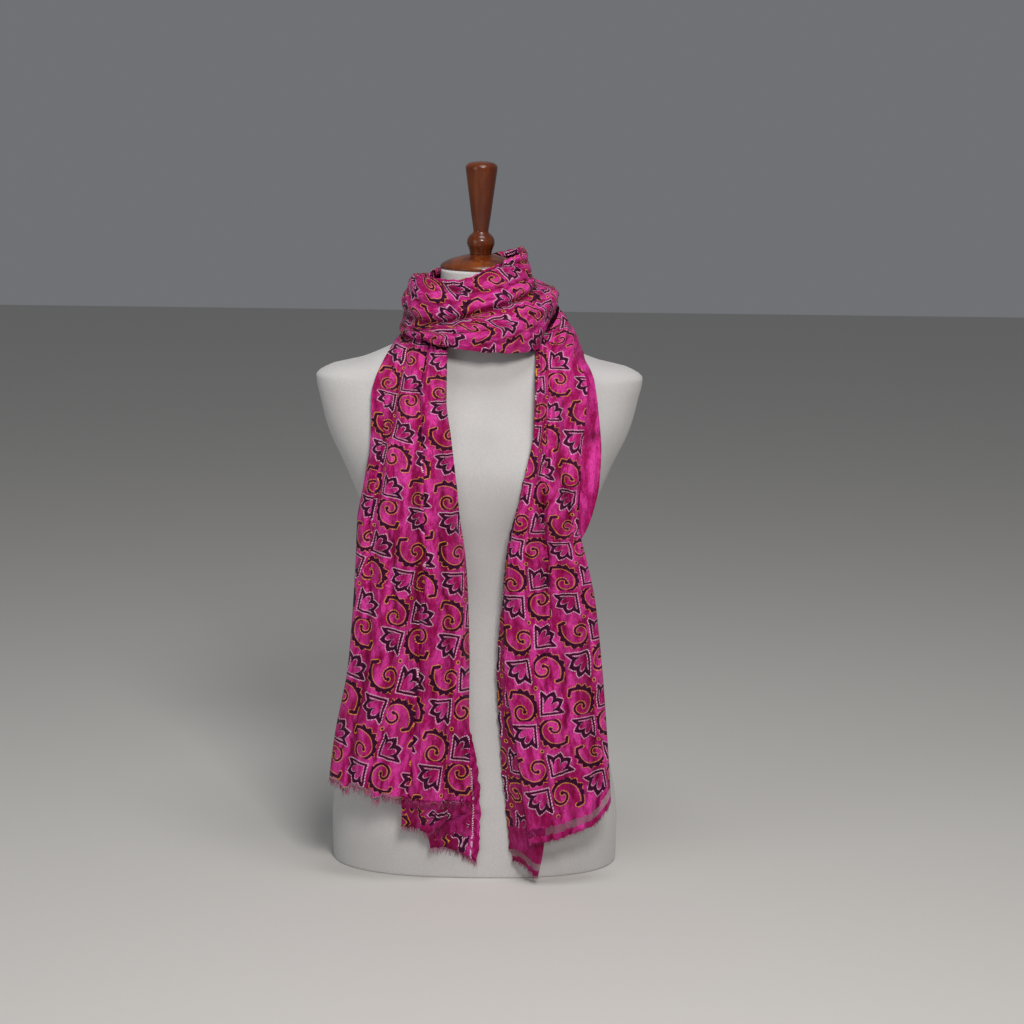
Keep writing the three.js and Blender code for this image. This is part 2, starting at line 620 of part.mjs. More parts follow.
function selvedgeSurface(c, r) {
  const z = mix(mix(SELVEDGE.high.inner, SELVEDGE.high.outer, c), SELVEDGE.low, r);
  const x = mix(rightEdge.outer(z) - SELVEDGE_HIDDEN, selvedgeOuter(z), c);
  const reach = drapeLie(rightEdge.outer(z), z) - SELVEDGE.behind - SELVEDGE.curl * c * c;
  const beyond = clamp((c - SELVEDGE_LIFT.from) / (1 - SELVEDGE_LIFT.from));
  const lift = (BODY_CLEARANCE - SELVEDGE.clearance) * beyond * clamp(1 - r / SELVEDGE_LIFT.rows);
  return new THREE.Vector3(x, clearOfBody(x, z, reach, SELVEDGE.clearance + lift), z);
}

// Fringes: a narrow strip under a hem with the warp ends hanging from it

const MIDDLE = 0.5;

function fringeGeometry({ layer, from, to, long }) {
  const at = layerSurface(layer);
  const { front, back } = layerFaces(layer);
  const middle = (front + back) / 2;
  const half = ((front - back) / 2) * (FRINGE.thick / CLOTH);
  const drop = (c, down) => at(c, 1).add(new THREE.Vector3(0, 0, -down));
  const strip = (c, r) => drop(c, FRINGE.seam + FRINGE.strip * r);
  const length = at(from, 1).distanceTo(at(to, 1));
  const count = Math.round(length / FRINGE.spacing);
  const columns = [from, ...share(layer.columns).filter((c) => c > from + 0.01 && c < to - 0.01), to];
  let solid = solidOf(wallGeometry(strip, columns, [0, 1], middle + half, middle - half));
  for (let i = 0; i < count; i += 1) {
    const c = mix(from, to, (i + MIDDLE) / count);
    const sway = Math.sin(i * 2.4) * 1.6;
    const reach = long * (0.75 + 0.25 * Math.sin(i * 1.7 + 1));
    const inWall = normalAt(strip, c, MIDDLE).multiplyScalar(middle);
    const root = drop(c, FRINGE.seam + FRINGE.strip * MIDDLE).add(inWall);
    const tip = root.clone().add(new THREE.Vector3(sway, sway / 3, -reach));
    solid = solid.add(solidOf(strandGeometry(root, tip)));
  }
  return geometryOf(solid);
}

function strandGeometry(root, tip) {
  const corners = 3;
  const ring = (centre, radius) =>
    Array.from({ length: corners }, (_, i) => {
      const angle = (i / corners) * 2 * Math.PI;
      return centre.clone().add(new THREE.Vector3(radius * Math.cos(angle), radius * Math.sin(angle), 0));
    });
  const points = [...ring(root, FRINGE.thick / 2), ...ring(tip, FRINGE.thick / 5)];
  const triangles = [
    [0, 1, 2],
    [3, 5, 4],
  ];
  for (let i = 0; i < corners; i += 1) {
    const j = (i + 1) % corners;
    triangles.push([i, i + corners, j], [j, i + corners, j + corners]);
  }
  return closedGeometry(points, triangles);
}

function solidOf(geometry) {
  const bare = new THREE.BufferGeometry().setAttribute("position", geometry.getAttribute("position"));
  bare.setIndex(geometry.index);
  const merged = mergeVertices(bare, 1e-3);
  return new wasm.Manifold(
    new wasm.Mesh({
      numProp: 3,
      vertProperties: new Float32Array(merged.attributes.position.array),
      triVerts: new Uint32Array(merged.index.array),
    }),
  );
}

function geometryOf(solid) {
  const mesh = solid.getMesh();
  return new THREE.BufferGeometry()
    .setAttribute("position", new THREE.BufferAttribute(new Float32Array(mesh.vertProperties), 3))
    .setIndex(Array.from(mesh.triVerts));
}

// The turn round the neck

const turn = Object.fromEntries(TURN_COLUMNS.map((key) => [key, track(NECK_TURN, "bearing", key)]));
const TOP_ROLL = { in: 4, down: 7 };
const LOW_ROLL = { in: 3, up: 5 };

// Upright section of the turn at a bearing, from inside its top roll, over its face, to inside its lower edge
function turnSection(bearing) {
  const at = Object.fromEntries(TURN_COLUMNS.map((key) => [key, turn[key](bearing)]));
  return new THREE.SplineCurve([
    new THREE.Vector2(at.topR - TOP_ROLL.in, at.topZ - TOP_ROLL.down),
    new THREE.Vector2(at.topR - 1.5, at.topZ - 0.7),
    new THREE.Vector2(at.topR + 2, at.topZ - 2.5),
    new THREE.Vector2(at.upR, mix(at.topZ, at.creaseZ, 0.5)),
    new THREE.Vector2(at.creaseR, at.creaseZ),
    new THREE.Vector2(at.lobeR, at.lobeZ),
    new THREE.Vector2(at.lowR, at.lowZ + 1),
    new THREE.Vector2(at.lowR - LOW_ROLL.in, at.lowZ + LOW_ROLL.up),
  ]);
}

function turnSurface(from, to) {
  return (c, r) => {
    const bearing = mix(from, to, c);
    const p = turnSection(bearing).getPoint(r);
    const angle = THREE.MathUtils.degToRad(bearing);
    return new THREE.Vector3(p.x * Math.sin(angle), -p.x * Math.cos(angle), p.y);
  };
}

// The wooden top

function turned(profile, around) {
  return new THREE.LatheGeometry(
    profile.map(([r, z]) => new THREE.Vector2(r, z)),
    around,
  ).rotateX(Math.PI / 2);
}

function capGeometry() {
  const low = NECK_TOP + SEAM;
  return turned(
    [
      [0, low],
      [CAP_RADIUS - 1.2, low],
      [CAP_RADIUS, low + 2],
      [CAP_RADIUS - 1, low + 4.2],
      [CAP_RADIUS * 0.84, low + 8.6],
      [CAP_RADIUS * 0.6, low + 12.6],
      [CAP_RADIUS * 0.36, low + CAP_HEIGHT - 1],
      [CAP_RADIUS * 0.28, low + CAP_HEIGHT],
      [0, low + CAP_HEIGHT],
    ],
    26,
  );
}

const FINIAL = { foot: 12.8, bead: 16.3, waist: 9, head: 18.8 };

function finialGeometry() {
  const low = NECK_TOP + CAP_HEIGHT + 2 * SEAM;
  return turned(
    [
      [0, low],
      [FINIAL.foot, low],
      [FINIAL.foot + 1.6, low + 7],
      [FINIAL.bead, low + 13.5],
      [FINIAL.bead - 0.4, low + 17.5],
      [FINIAL.bead - 2.6, low + 21.5],
      [FINIAL.waist + 1.4, low + 24.4],
      [FINIAL.waist, low + 26.5],
      [FINIAL.waist + 2.6, low + 46],
      [FINIAL.head - 2.4, low + 82],
      [FINIAL.head, FINIAL_TOP - 8],
      [FINIAL.head - 0.8, FINIAL_TOP - 4.6],
      [FINIAL.head - 5, FINIAL_TOP - 1.6],
      [FINIAL.head - 12, FINIAL_TOP - 0.2],
      [0, FINIAL_TOP],
    ],
    20,
  );
}

// Colours as seen in the photo
const silk = new THREE.MeshStandardMaterial({ color: 0xc21f7d, roughness: 0.42, side: THREE.DoubleSide });
const plainSilk = new THREE.MeshStandardMaterial({ color: 0xb51768, roughness: 0.4, side: THREE.DoubleSide });
const threads = new THREE.MeshStandardMaterial({ color: 0xa02466, roughness: 0.7 });
const jersey = new THREE.MeshStandardMaterial({ color: 0xc9c4c0, roughness: 0.9 });
const wood = new THREE.MeshStandardMaterial({ color: 0x5c2610, roughness: 0.3 });

const shawlOnForm = new THREE.Group();

function place(name, geometry, material) {
  const mesh = new THREE.Mesh(geometry, material);
  mesh.name = name;
  shawlOnForm.add(mesh);
}

const BODY_LEVELS = [
  0, 40, 100, 170, 240, 300, 345, 390, 425, 455, 485, 515, 545, 568, 584, 592, 599, 606, 616, 628, 643, 662, 690,
  NECK_TOP,
];
place("form_body", bodyGeometry(32, BODY_LEVELS), jersey);
place("form_cap", capGeometry(), wood);
place("form_finial", finialGeometry(), wood);

for (const { name, from, to, columns, rows } of TURN_STRETCHES)
  place(name, wallGeometry(turnSurface(from, to), share(columns), share(rows), CLOTH / 2, -CLOTH / 2), silk);

const shoulders = [
  { name: "shoulder_left", stations: SHOULDER_LEFT, layer: LAYERS.leftFront, folds: leftFolds, wider: 1, rows: 6 },
  {
    name: "shoulder_right",
    stations: SHOULDER_RIGHT,
    layer: LAYERS.rightFront,
    folds: rightFolds,
    wider: 1.27,
    rows: 12,
  },
];
for (const shoulder of shoulders) {
  const wall = wallGeometry(shoulderSurface(shoulder), share(18), share(shoulder.rows), CLOTH / 2, -CLOTH / 2);
  place(shoulder.name, wall, silk);
}

place("drape_left_front", layerGeometry(LAYERS.leftFront), silk);
place("drape_left_middle", layerGeometry(LAYERS.leftMiddle), silk);
place("drape_left_back", layerGeometry(LAYERS.leftBack), silk);
place("drape_right_front", layerGeometry(LAYERS.rightFront), silk);
place("drape_right_back", layerGeometry(LAYERS.rightBack), silk);
place(
  "selvedge_right",
  wallGeometry(selvedgeSurface, share(6), share(14), CLOTH / 2, -CLOTH / 2),
  plainSilk,
);

const FRINGES = [
  { name: "fringe_left_front", layer: LAYERS.leftFront, from: 0.01, to: 0.99, long: 7 },
  { name: "fringe_left_middle", layer: LAYERS.leftMiddle, from: 0.4, to: 0.98, long: 10 },
  { name: "fringe_left_back", layer: LAYERS.leftBack, from: 0.25, to: 0.98, long: 11 },
  { name: "fringe_right_front", layer: LAYERS.rightFront, from: 0.2, to: 0.78, long: 5 },
  { name: "fringe_right_back", layer: LAYERS.rightBack, from: 0.04, to: 0.8, long: 7 },
];
for (const fringe of FRINGES) place(fringe.name, fringeGeometry(fringe), threads);

export default shawlOnForm;
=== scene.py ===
"""A stitched silk shawl on a counter-top dress form: one turn round the neck, both ends hanging in front.

Metres, +Z up, front towards -Y. The tables are in millimetres, as in the part's source, scaled by MM.
"""

import math

import bpy
import numpy as np
from mathutils import Matrix, Vector


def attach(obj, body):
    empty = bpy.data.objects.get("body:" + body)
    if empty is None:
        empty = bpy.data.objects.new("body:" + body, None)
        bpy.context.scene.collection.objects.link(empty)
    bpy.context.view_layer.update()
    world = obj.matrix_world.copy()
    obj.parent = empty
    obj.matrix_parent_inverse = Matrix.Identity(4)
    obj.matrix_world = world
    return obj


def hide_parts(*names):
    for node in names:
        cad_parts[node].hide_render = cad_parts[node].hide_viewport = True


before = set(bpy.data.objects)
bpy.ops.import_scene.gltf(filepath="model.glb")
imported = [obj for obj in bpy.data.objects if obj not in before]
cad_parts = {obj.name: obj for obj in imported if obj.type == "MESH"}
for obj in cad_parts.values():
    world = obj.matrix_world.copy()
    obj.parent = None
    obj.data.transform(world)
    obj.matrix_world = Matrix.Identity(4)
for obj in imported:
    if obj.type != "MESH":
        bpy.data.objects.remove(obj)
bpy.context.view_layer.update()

MM = 0.001

# Camera, as found from the form's outline in the photograph
CAMERA_PLACE = (0.0408, -3.6, 1.065)
CAMERA_PITCH = math.radians(10.1)
CAMERA_ROLL = math.radians(0.72)
SENSOR = 36.0
LENS = 107.16

# Driving dimensions, in millimetres
CLOTH = 0.5  # thickness of the silk as shown
STACK = 2.4  # from one folded layer to the next
SEAM = 0.3  # between pieces that meet
NECK_TOP = 716  # height of the form without its wooden top
CAP_RADIUS = 47.8
CAP_HEIGHT = 16.4
FINIAL_TOP = 842
BODY_POWER = 2.5  # squareness of the form's level sections
BUST = {"x": 82, "z": 470, "width": 42, "height": 55, "depth": 24}
BODY_CLEARANCE = 7.6  # from the form to the silk
FALL_REACH = 75  # distance from its ridge at which a drape has fallen back in full
BESIDE = {"x": 2, "z": 3}  # where the form is also felt, so that cloth stays clear of its corners
KEPT_CLEAR = {"soft": 2, "silk": 6}  # how softly cloth gives way to the form, and the silk's clearance
LEFT_TOP = (648, 640)  # heights of a layer's top at its inner and outer edge
RIGHT_TOP = (640, 604)
UNDER_TOP = (632, 626)
RIGHT_FOLD_DEPTH = 6.4
ROLL_SHARE = 0.08  # share of the width that turns back at an edge
OUTER_ROLL = {"left": 8, "right": 4}
ROW_SPREAD = 1.35  # rows lie closer together near the top
MIDDLE_LAYER = {"pleat": 0.8, "air": 3.6}  # folds of a hidden layer as a share of the front's, and its depth
BACK_LAYER = {"pleat": 0.55, "air": 7.4}
UNDER_PLEAT = 0.8
TURN_ROUNDING = 0.12
STITCH_PITCH = {"across": 37, "along": 39}  # spacing of the stitched motifs
NECK_MOTIFS = 1.16  # how many times closer they lie round the neck


def table(names, rows):
    """The columns of a table by name, sorted by the first one."""
    ordered = np.array(sorted(rows), float)
    return dict(zip(names.split(), ordered.T))


def tables(names, *lists):
    return [table(names, rows) for rows in lists]


# Level sections of the form: half width, and how far the front and the back lie from the middle
BODY = table("z half front back", [
    (0, 172, 108, 104), (50, 173, 110, 112), (120, 163, 108, 112), (190, 144, 102, 98),
    (260, 125, 93, 80), (330, 116, 86, 70), (390, 122, 90, 70), (437, 140, 98, 78),
    (480, 158, 102, 86), (528, 180, 94, 92), (562, 189, 84, 92), (588, 194, 74, 88),
    (598, 180, 69, 84), (606, 146, 66, 80), (617, 118, 62, 75), (630, 93, 58, 68),
    (646, 70, 53, 60), (666, 54, 49, 52), (690, 48, 47, 48), (716, 46.5, 46.5, 46.5),
])

# How a hanging drape lies before it is pleated
DRAPE_LIE = table("z front ridge fall", [
    (0, 139, 90, 22), (100, 138, 88, 24), (250, 137, 84, 29), (350, 136, 80, 35),
    (430, 135, 77, 43), (470, 133, 75, 48), (500, 128, 72, 52), (530, 120, 66, 58),
    (560, 111, 58, 64), (590, 101, 50, 72), (610, 93, 44, 80), (630, 78, 38, 88),
    (650, 69, 33, 92), (680, 60, 28, 92),
])

# Edges of the left drape and of the layers folded behind it
LEFT_EDGES = table("z inner outer", [
    (0, -2, -173), (110, -4, -172), (143, -5, -169), (179, -6, -164), (215, -7, -157),
    (253, -7, -150), (328, -9, -144), (388, -13, -141), (427, -19, -140), (475, -24, -132),
    (529, -31, -125), (572, -37, -125), (592, -37, -121), (612, -37, -112), (631, -36, -100),
    (650, -34, -84), (664, -32, -76),
])
LEFT_MIDDLE_EDGES = table("z inner outer", [
    (0, -6, -80), (60, -7, -84), (110, -9, -84), (250, -26, -88), (400, -36, -94),
    (560, -52, -96), (664, -46, -66),
])
LEFT_BACK_EDGES = table("z inner outer", [
    (0, 3, -47), (38, 6, -50), (77, 8, -53), (128, 5, -55), (166, -2, -56), (204, -12, -57),
    (260, -27, -60), (400, -36, -61), (560, -44, -61), (664, -42, -58),
])

# Edges of the right drape: the layer behind shows from `ridge` to `inner`, turned away by `turn`,
# and lies hidden behind the front layer as far as `under`
RIGHT_EDGES = table("z inner ridge outer turn under", [
    (0, 46, 72, 164, 21, 74), (47, 39, 66, 164, 20, 83), (77, 36, 62, 163, 20, 85),
    (128, 30, 55, 160, 19, 84), (202, 24, 43, 154, 16, 76), (247, 21, 35, 150, 14, 68),
    (302, 23, 33, 144, 11, 62), (340, 26, 33, 139, 9, 60), (385, 29, 36, 129, 8, 62),
    (416, 34, 41, 121, 8, 66), (433, 38, 44, 118, 7, 68), (454, 43, 49, 119, 7, 72),
    (488, 50, 55, 120, 6, 76), (538, 61, 65, 124, 5, 84), (582, 64, 68, 127, 4, 84),
    (606, 65, 69, 121, 4, 82), (629, 67, 70, 110, 3, 80), (664, 66, 69, 96, 2, 76),
])
SELVEDGE_EDGES = table("z outer", [
    (408, 119), (424, 128), (451, 137), (476, 142), (514, 144), (559, 140), (593, 135),
    (622, 125), (640, 114), (655, 100), (664, 90),
])

# Folds: `at` is the share of the way from inner to outer edge, `deep` how far the valley lies back,
# `wide` its half width as a share
FOLD = "z at deep wide"
LEFT_FOLDS = tables(FOLD,
    [
        (0, 0.42, 9, 0.09), (200, 0.44, 11, 0.08), (315, 0.45, 13, 0.07), (418, 0.4, 11, 0.08),
        (480, 0.385, 11, 0.085), (560, 0.38, 12, 0.085), (660, 0.37, 10, 0.1),
    ],
    [
        (0, 0.14, 3, 0.07), (250, 0.16, 6, 0.06), (400, 0.21, 8, 0.07), (600, 0.12, 6, 0.08),
        (660, 0.12, 3, 0.08),
    ],
    [
        (0, 0.67, 6, 0.08), (200, 0.63, 7, 0.08), (400, 0.64, 6, 0.07), (480, 0.64, 2, 0.06),
        (560, 0.6, 0, 0.06),
    ],
    [
        (0, 0.86, 6, 0.06), (200, 0.85, 7, 0.06), (330, 0.84, 5, 0.06), (480, 0.83, 9, 0.07),
        (600, 0.77, 9, 0.09), (660, 0.75, 5, 0.09),
    ],
)
RIGHT_FOLDS = tables(FOLD,
    [
        (200, 0.44, 0, 0.09), (300, 0.46, 6, 0.07), (385, 0.48, 10, 0.07), (480, 0.33, 12, 0.08),
        (548, 0.18, 9, 0.09), (640, 0.2, 6, 0.1),
    ],
    [
        (380, 0.92, 0, 0.07), (430, 0.88, 6, 0.08), (465, 0.76, 9, 0.09), (510, 0.57, 11, 0.11),
        (600, 0.6, 9, 0.12), (650, 0.6, 5, 0.12),
    ],
    [
        (0, 0.5, 3, 0.14), (120, 0.56, 4, 0.12), (250, 0.62, 6, 0.09), (340, 0.66, 5, 0.08),
        (420, 0.68, 0, 0.08),
    ],
    [
        (0, 0.84, 5, 0.07), (150, 0.84, 6, 0.07), (300, 0.86, 4, 0.07), (380, 0.88, 0, 0.07),
    ],
)
INNER_ROLL = table("z left right", [(0, 1, 2), (200, 2, 2.5), (300, 6, 3), (664, 8, 3)])

# Finer creases that only the silk itself shows: gathers under the neck, and soft ridges lower down
SILK_CREASE_GAIN = 1.5
LEFT_CREASES = tables(FOLD,
    [(470, 0.26, 0, 0.03), (560, 0.24, 2.2, 0.025), (640, 0.25, 3, 0.03)],
    [(430, 0.52, 0, 0.03), (540, 0.5, 2, 0.022), (640, 0.49, 3, 0.028)],
    [(400, 0.7, 0, 0.03), (520, 0.69, 2.4, 0.024), (640, 0.63, 3, 0.028)],
    [(500, 0.93, 0, 0.02), (600, 0.91, 2, 0.022), (650, 0.9, 2.5, 0.03)],
    [(90, 0.26, 1.2, 0.05), (240, 0.29, 2.2, 0.035), (380, 0.31, 0, 0.03)],
    [(90, 0.54, 1.4, 0.04), (200, 0.53, 2.2, 0.03), (300, 0.55, 0, 0.03)],
    [(90, 0.94, 1.6, 0.03), (260, 0.94, 2, 0.02), (430, 0.93, 0, 0.02)],
    [(140, 0.76, 0, 0.03), (260, 0.74, 1.8, 0.03), (380, 0.76, 0, 0.03)],
)
RIGHT_CREASES = tables(FOLD,
    [(470, 0.08, 0, 0.03), (560, 0.07, 2, 0.025), (640, 0.08, 2.6, 0.03)],
    [(440, 0.36, 0, 0.04), (540, 0.36, 2.4, 0.03), (640, 0.38, 3, 0.035)],
    [(440, 0.6, 0, 0.03), (500, 0.74, 2.4, 0.03), (600, 0.78, 3, 0.035)],
    [(300, 0.24, 0, 0.03), (400, 0.25, 2, 0.025), (500, 0.14, 0, 0.025)],
    [(60, 0.3, 1, 0.05), (200, 0.27, 1.8, 0.04), (320, 0.24, 0, 0.04)],
    [(60, 0.7, 1, 0.05), (180, 0.73, 1.8, 0.04), (300, 0.76, 0, 0.04)],
)

# Knife folds, where the cloth passes under itself: place and overlap as shares of the width, and the
# step in depth, which is negative where the outer side lies lower
TUCK = "z at over deep"
LEFT_TUCKS = tables(TUCK,
    [
        (80, 0.44, 0, 0), (130, 0.44, 0.02, 1.5), (200, 0.44, 0.05, 3), (315, 0.462, 0.075, 4),
        (362, 0.41, 0.06, 4), (418, 0.375, 0.045, 4), (480, 0.375, 0.035, 4), (560, 0.37, 0.03, 4),
        (660, 0.38, 0.02, 3),
    ],
    [
        (330, 0.84, 0, 0), (400, 0.84, 0.03, -2), (480, 0.83, 0.05, -3), (600, 0.78, 0.05, -3),
        (660, 0.75, 0.04, -2),
    ],
)
RIGHT_TUCKS = tables(TUCK,
    [
        (250, 0.45, 0, 0), (300, 0.46, 0.03, -2), (385, 0.48, 0.06, -3.5), (440, 0.41, 0.06, -3.5),
        (480, 0.34, 0.06, -3.5), (548, 0.2, 0.05, -3), (640, 0.2, 0.03, -2),
    ],
)
TUCK_BAND = 0.022  # half the share of cloth that turns in a knife fold
TUCK_FADE = 0.16  # share of the width over which the lower side comes back level
TUCK_OPENS = 0.02  # overlap at which a knife fold turns in full

# Small soft waves in the silk: seed, and the shortest and longest waves across and along
WAVES = 14
RIPPLE = (3, (9, 22), (50, 170))
WRINKLE = (11, (7, 15), (12, 40))
TURN_WAVES = ((16, 60), (9, 18))
STRAND_WAVES = ((8, 16), (30, 90))
WAVE_HEIGHTS = {
    "ripple": 0.75, "wrinkle": 0.4, "behind": 0.35, "selvedge": 0.6, "turn": 0.6, "strand": 0.9,
}
WAVE_LEAN = {"left": 0.17, "right": 0.2, "turn": 0.25}  # how far ripples run sideways as they run down

# Lower edges of the cloth by x, without the fringe
HEMS = {
    "left": table("x z", [
        (-175, 117), (-158, 115), (-151, 106), (-145, 114), (-121, 109), (-113, 98), (-106, 106),
        (-84, 101), (-40, 96), (0, 93),
    ]),
    "left_middle": table("x z", [(-86, 69), (-70, 66), (-54, 60), (-40, 66), (-16, 79), (0, 84)]),
    "left_back": table("x z", [(-52, 40), (-36, 40), (-22, 36), (6, 20)]),
    "right": table("x z", [(64, 50), (83, 54), (125, 65), (146, 74), (158, 88), (165, 98)]),
    "right_back": table("x z", [(38, 24), (50, 24), (60, 19), (73, 12), (80, 11)]),
}

# Cloth without motifs: a strip beside an edge or over a hem, and the band whose weft is pulled out
PLAIN_STRIP = {"left_back": 12, "right_hem": 27, "right_back_hem": 42}
NECK_BORDER = {"rows": 0.89, "bearings": (4, 52)}
SHEER_BANDS = {"front": (8, 17), "back": (6, 14)}  # heights over the right hems
LEFT_HEM_SHEER = 4
# The row of stitches beside the left back layer's plain strip
HEM_STITCHES = {"in": 3.5, "half": 0.9, "per_cell": 13.0, "gap": 0.4}

# Columns and rows of each layer's grid, how far its hem is frayed, and the seed of that
GRIDS = {
    "left": (136, 250, 0.5, 5), "left_middle": (60, 150, 0.6, 6), "left_back": (50, 160, 0.4, 7),
    "right": (120, 250, 0.4, 8), "right_back": (60, 200, 0.4, 9),
}
JAG_BLUR = (0.2, 0.6, 1, 0.6, 0.2)
SELVEDGE_GRID = (30, 120)
MIDDLE_HIDDEN = 24  # columns of the left middle layer whose hem is covered

# One warp thread of each side of a drape: where it runs, and the row of motifs that it has reached
GRAIN = "z x row"
LEFT_GRAIN = table(GRAIN, [
    (100, -172, 5), (179.6, -155.6, 3), (259.8, -137.3, 1), (335.3, -124.7, -1),
    (406.6, -109.3, -3), (474, -97.2, -5), (535.8, -86, -7), (590, -76, -9), (640, -68, -11),
])
LEFT_INNER_GRAIN = table(GRAIN, [
    (50, -66, 6), (128.3, -53.6, 4), (207, -40.5, 2), (284, -35.3, 0), (357, -27.7, -2),
    (428.7, -30.8, -4), (498.1, -36.3, -6), (560, -42, -8), (640, -48, -11),
])
RIGHT_GRAIN = table(GRAIN, [
    (20, 99, 12), (100.7, 79, 10), (179.2, 59.4, 8), (257.2, 51.5, 6), (334.1, 43.2, 4),
    (402.6, 40.7, 2), (470, 48, 0), (535, 60, -2), (590, 66, -4), (640, 68, -6),
])
LEFT_COLUMN = 1
LEFT_INNER_COLUMN = 4
RIGHT_COLUMN = 6
GRAIN_STEP = 20  # height over which a thread's lean is measured
INNER_GRAIN_TO = (0.86, 0.045)  # the inner thread's motifs end at the first tuck's place, scaled and moved
MIDDLE_SHIFT = (0.35, 0.6)  # of the hidden layers' motifs, in cells
BACK_SHIFT = (0.5, 0.3)
TUMBLE = 0.07  # how far creases push motifs about, in cells

# The turn round the neck by bearing: 0 is the front and 90 the viewer's right
NECK_TURN = table("bearing topR topZ upR creaseR creaseZ lobeR lobeZ lowR lowZ", [
    (262, 57, 713, 62, 62, 690, 67, 676, 67, 664), (225, 56, 716, 62, 62, 691, 68, 676, 67, 662),
    (180, 55, 726, 63, 62, 698, 69, 681, 67, 664), (135, 54, 736, 62, 64, 704, 77, 692, 75, 668),
    (112, 53, 740, 58, 65, 704, 88, 692, 86, 667), (90, 52, 740, 57, 65, 703, 91, 690, 88, 664),
    (72, 54, 739, 62, 70, 700, 91, 684, 89, 661), (58, 56, 737, 67, 77, 696, 93, 676, 91, 648),
    (46, 57, 735, 70, 81, 692, 95, 668, 94, 629), (28, 58, 729, 74, 83, 685, 97, 661, 95, 627),
    (4, 60, 719, 77, 84, 675, 97, 652, 94, 628), (-12, 62, 711, 79, 86, 667, 96, 649, 94, 630),
    (-30, 65, 707, 83, 88, 658, 96, 646, 94, 634), (-52, 71, 708, 88, 91, 652, 96, 645, 95, 638),
    (-80, 79, 708, 92, 92, 652, 95, 647, 95, 641), (-110, 80, 706, 92, 91, 660, 95, 650, 95, 641),
    (-180, 79, 700, 88, 86, 670, 94, 655, 95, 636), (-225, 84, 690, 92, 92, 666, 100, 650, 103, 630),
])
TOP_ROLL = [(4, 7), (1.5, 0.7), (-2, 2.5)]  # how far its points lie inside and below the top, from the inside
LOW_ROLL = [(0, 1), (3, 5)]  # how far its points lie inside and above the lower edge
WRAP_REACH = 90  # the turn's radius, for the length of its waves
TURN_SEED = 31
TURN_CALM = 8  # its waves fade over this part of its section at both edges

# Creases along the turn: where on its section, how deep and how wide, by bearing
CREASE_GAIN = 1.6
TURN_CREASE = "bearing at deep wide"
TURN_CREASES = tables(TURN_CREASE,
    [(-100, 0.5, 1, 0.03), (-50, 0.53, 3.5, 0.02), (0, 0.565, 4.5, 0.018),
     (50, 0.57, 4, 0.02), (80, 0.56, 1, 0.03)],
    [(-60, 0.25, 0, 0.03), (-30, 0.33, 2.2, 0.025), (10, 0.42, 2.6, 0.022),
     (50, 0.47, 2.2, 0.022), (90, 0.5, 1, 0.03)],
    [(-35, 0.16, 0, 0.02), (-5, 0.22, 1.8, 0.022), (30, 0.3, 2.4, 0.022),
     (65, 0.36, 1.6, 0.025), (100, 0.42, 0, 0.03)],
    [(-95, 0.36, 1.2, 0.03), (-60, 0.41, 2, 0.025), (-25, 0.47, 1.2, 0.02),
     (0, 0.51, 0, 0.02)],
    [(-30, 0.68, 0, 0.02), (-8, 0.7, 2.2, 0.02), (25, 0.69, 1.6, 0.02),
     (55, 0.67, 0.6, 0.02)],
    [(-15, 0.8, 0, 0.02), (10, 0.79, 1.8, 0.02), (40, 0.77, 1.4, 0.02),
     (60, 0.76, 0, 0.02)],
    [(20, 0.12, 0, 0.02), (45, 0.18, 1.5, 0.02), (75, 0.22, 1.5, 0.022),
     (110, 0.24, 0.5, 0.03)],
)
BACK_CREASES = tables(TURN_CREASE,
    [(-230, 0.3, 2, 0.03), (-160, 0.34, 3, 0.03), (-90, 0.4, 1, 0.03)],
    [(-230, 0.55, 2.6, 0.03), (-160, 0.56, 3, 0.025), (-90, 0.52, 2, 0.03)],
    [(-230, 0.78, 1, 0.03), (-160, 0.74, 2, 0.025), (-90, 0.66, 1, 0.02)],
)

# Stretches of the turn: the bearings where each starts and ends, its columns, rows and creases
TURN_STRETCHES = [
    ("wrap_back_inner", 262, 114.4, 80, 60, []),
    ("wrap_front", 114, -97, 230, 130, TURN_CREASES),
    ("wrap_back_outer", -97.4, -225, 90, 70, BACK_CREASES),
]

# Stations of the strand over each shoulder, from the turn to the drape: x, y and z of its edge at the neck,
# x, y and z of its outer edge, and how far it bulges between them
SHOULDER_LEFT = [(-56.6, 7.1, 711, -67.5, 8.5, 666, 2), (-50, -36, 694, -78, -5, 661, 3)]
SHOULDER_RIGHT = [
    (59.6, 58.6, 689, 74, 73, 630, 6), (82, 41, 680, 101, 48, 627, 5), (92, 12, 671, 115, 18, 625, 5),
    (91, -20, 660, 121, -8, 620, 5), (76, -49, 642, 125, -30, 614, 5),
]
SHOULDER_PLEAT = 0.5  # how much of a drape's fold depth is left on the shoulder
STRAND_GRIDS = {"left": (120, 50, 41), "right": (120, 110, 42)}  # columns, rows and seed
STRAND_RUN = {"across": 60, "along": 150}
STRAND_CALM = (6, 4)  # its waves fade over these parts of its length at its top and at its foot
STRAND_WIDER = 1.27  # the strand's width as a share of the drape's, the selvedge included
STRAND_PLAIN = (0.42, 0.93)  # from this share on, behind the neck and at its foot, its cloth is plain
JOIN_REACH = 45  # height over which a strand's motifs leave the columns of the drape below
JOIN_SPAN = 5  # points over which their spacing at the drape's edge is measured
NEXT_ROW = 0.05

SELVEDGE_HIDDEN = 10  # how far it runs on behind the drape
SELVEDGE = {
    "low": 408, "top": 606, "inner": 614.4, "outer": 593.2, "clearance": 3.9, "behind": 4.8, "curl": 7,
}
SELVEDGE_LIFT = {"from": 0.45, "rows": 0.2}

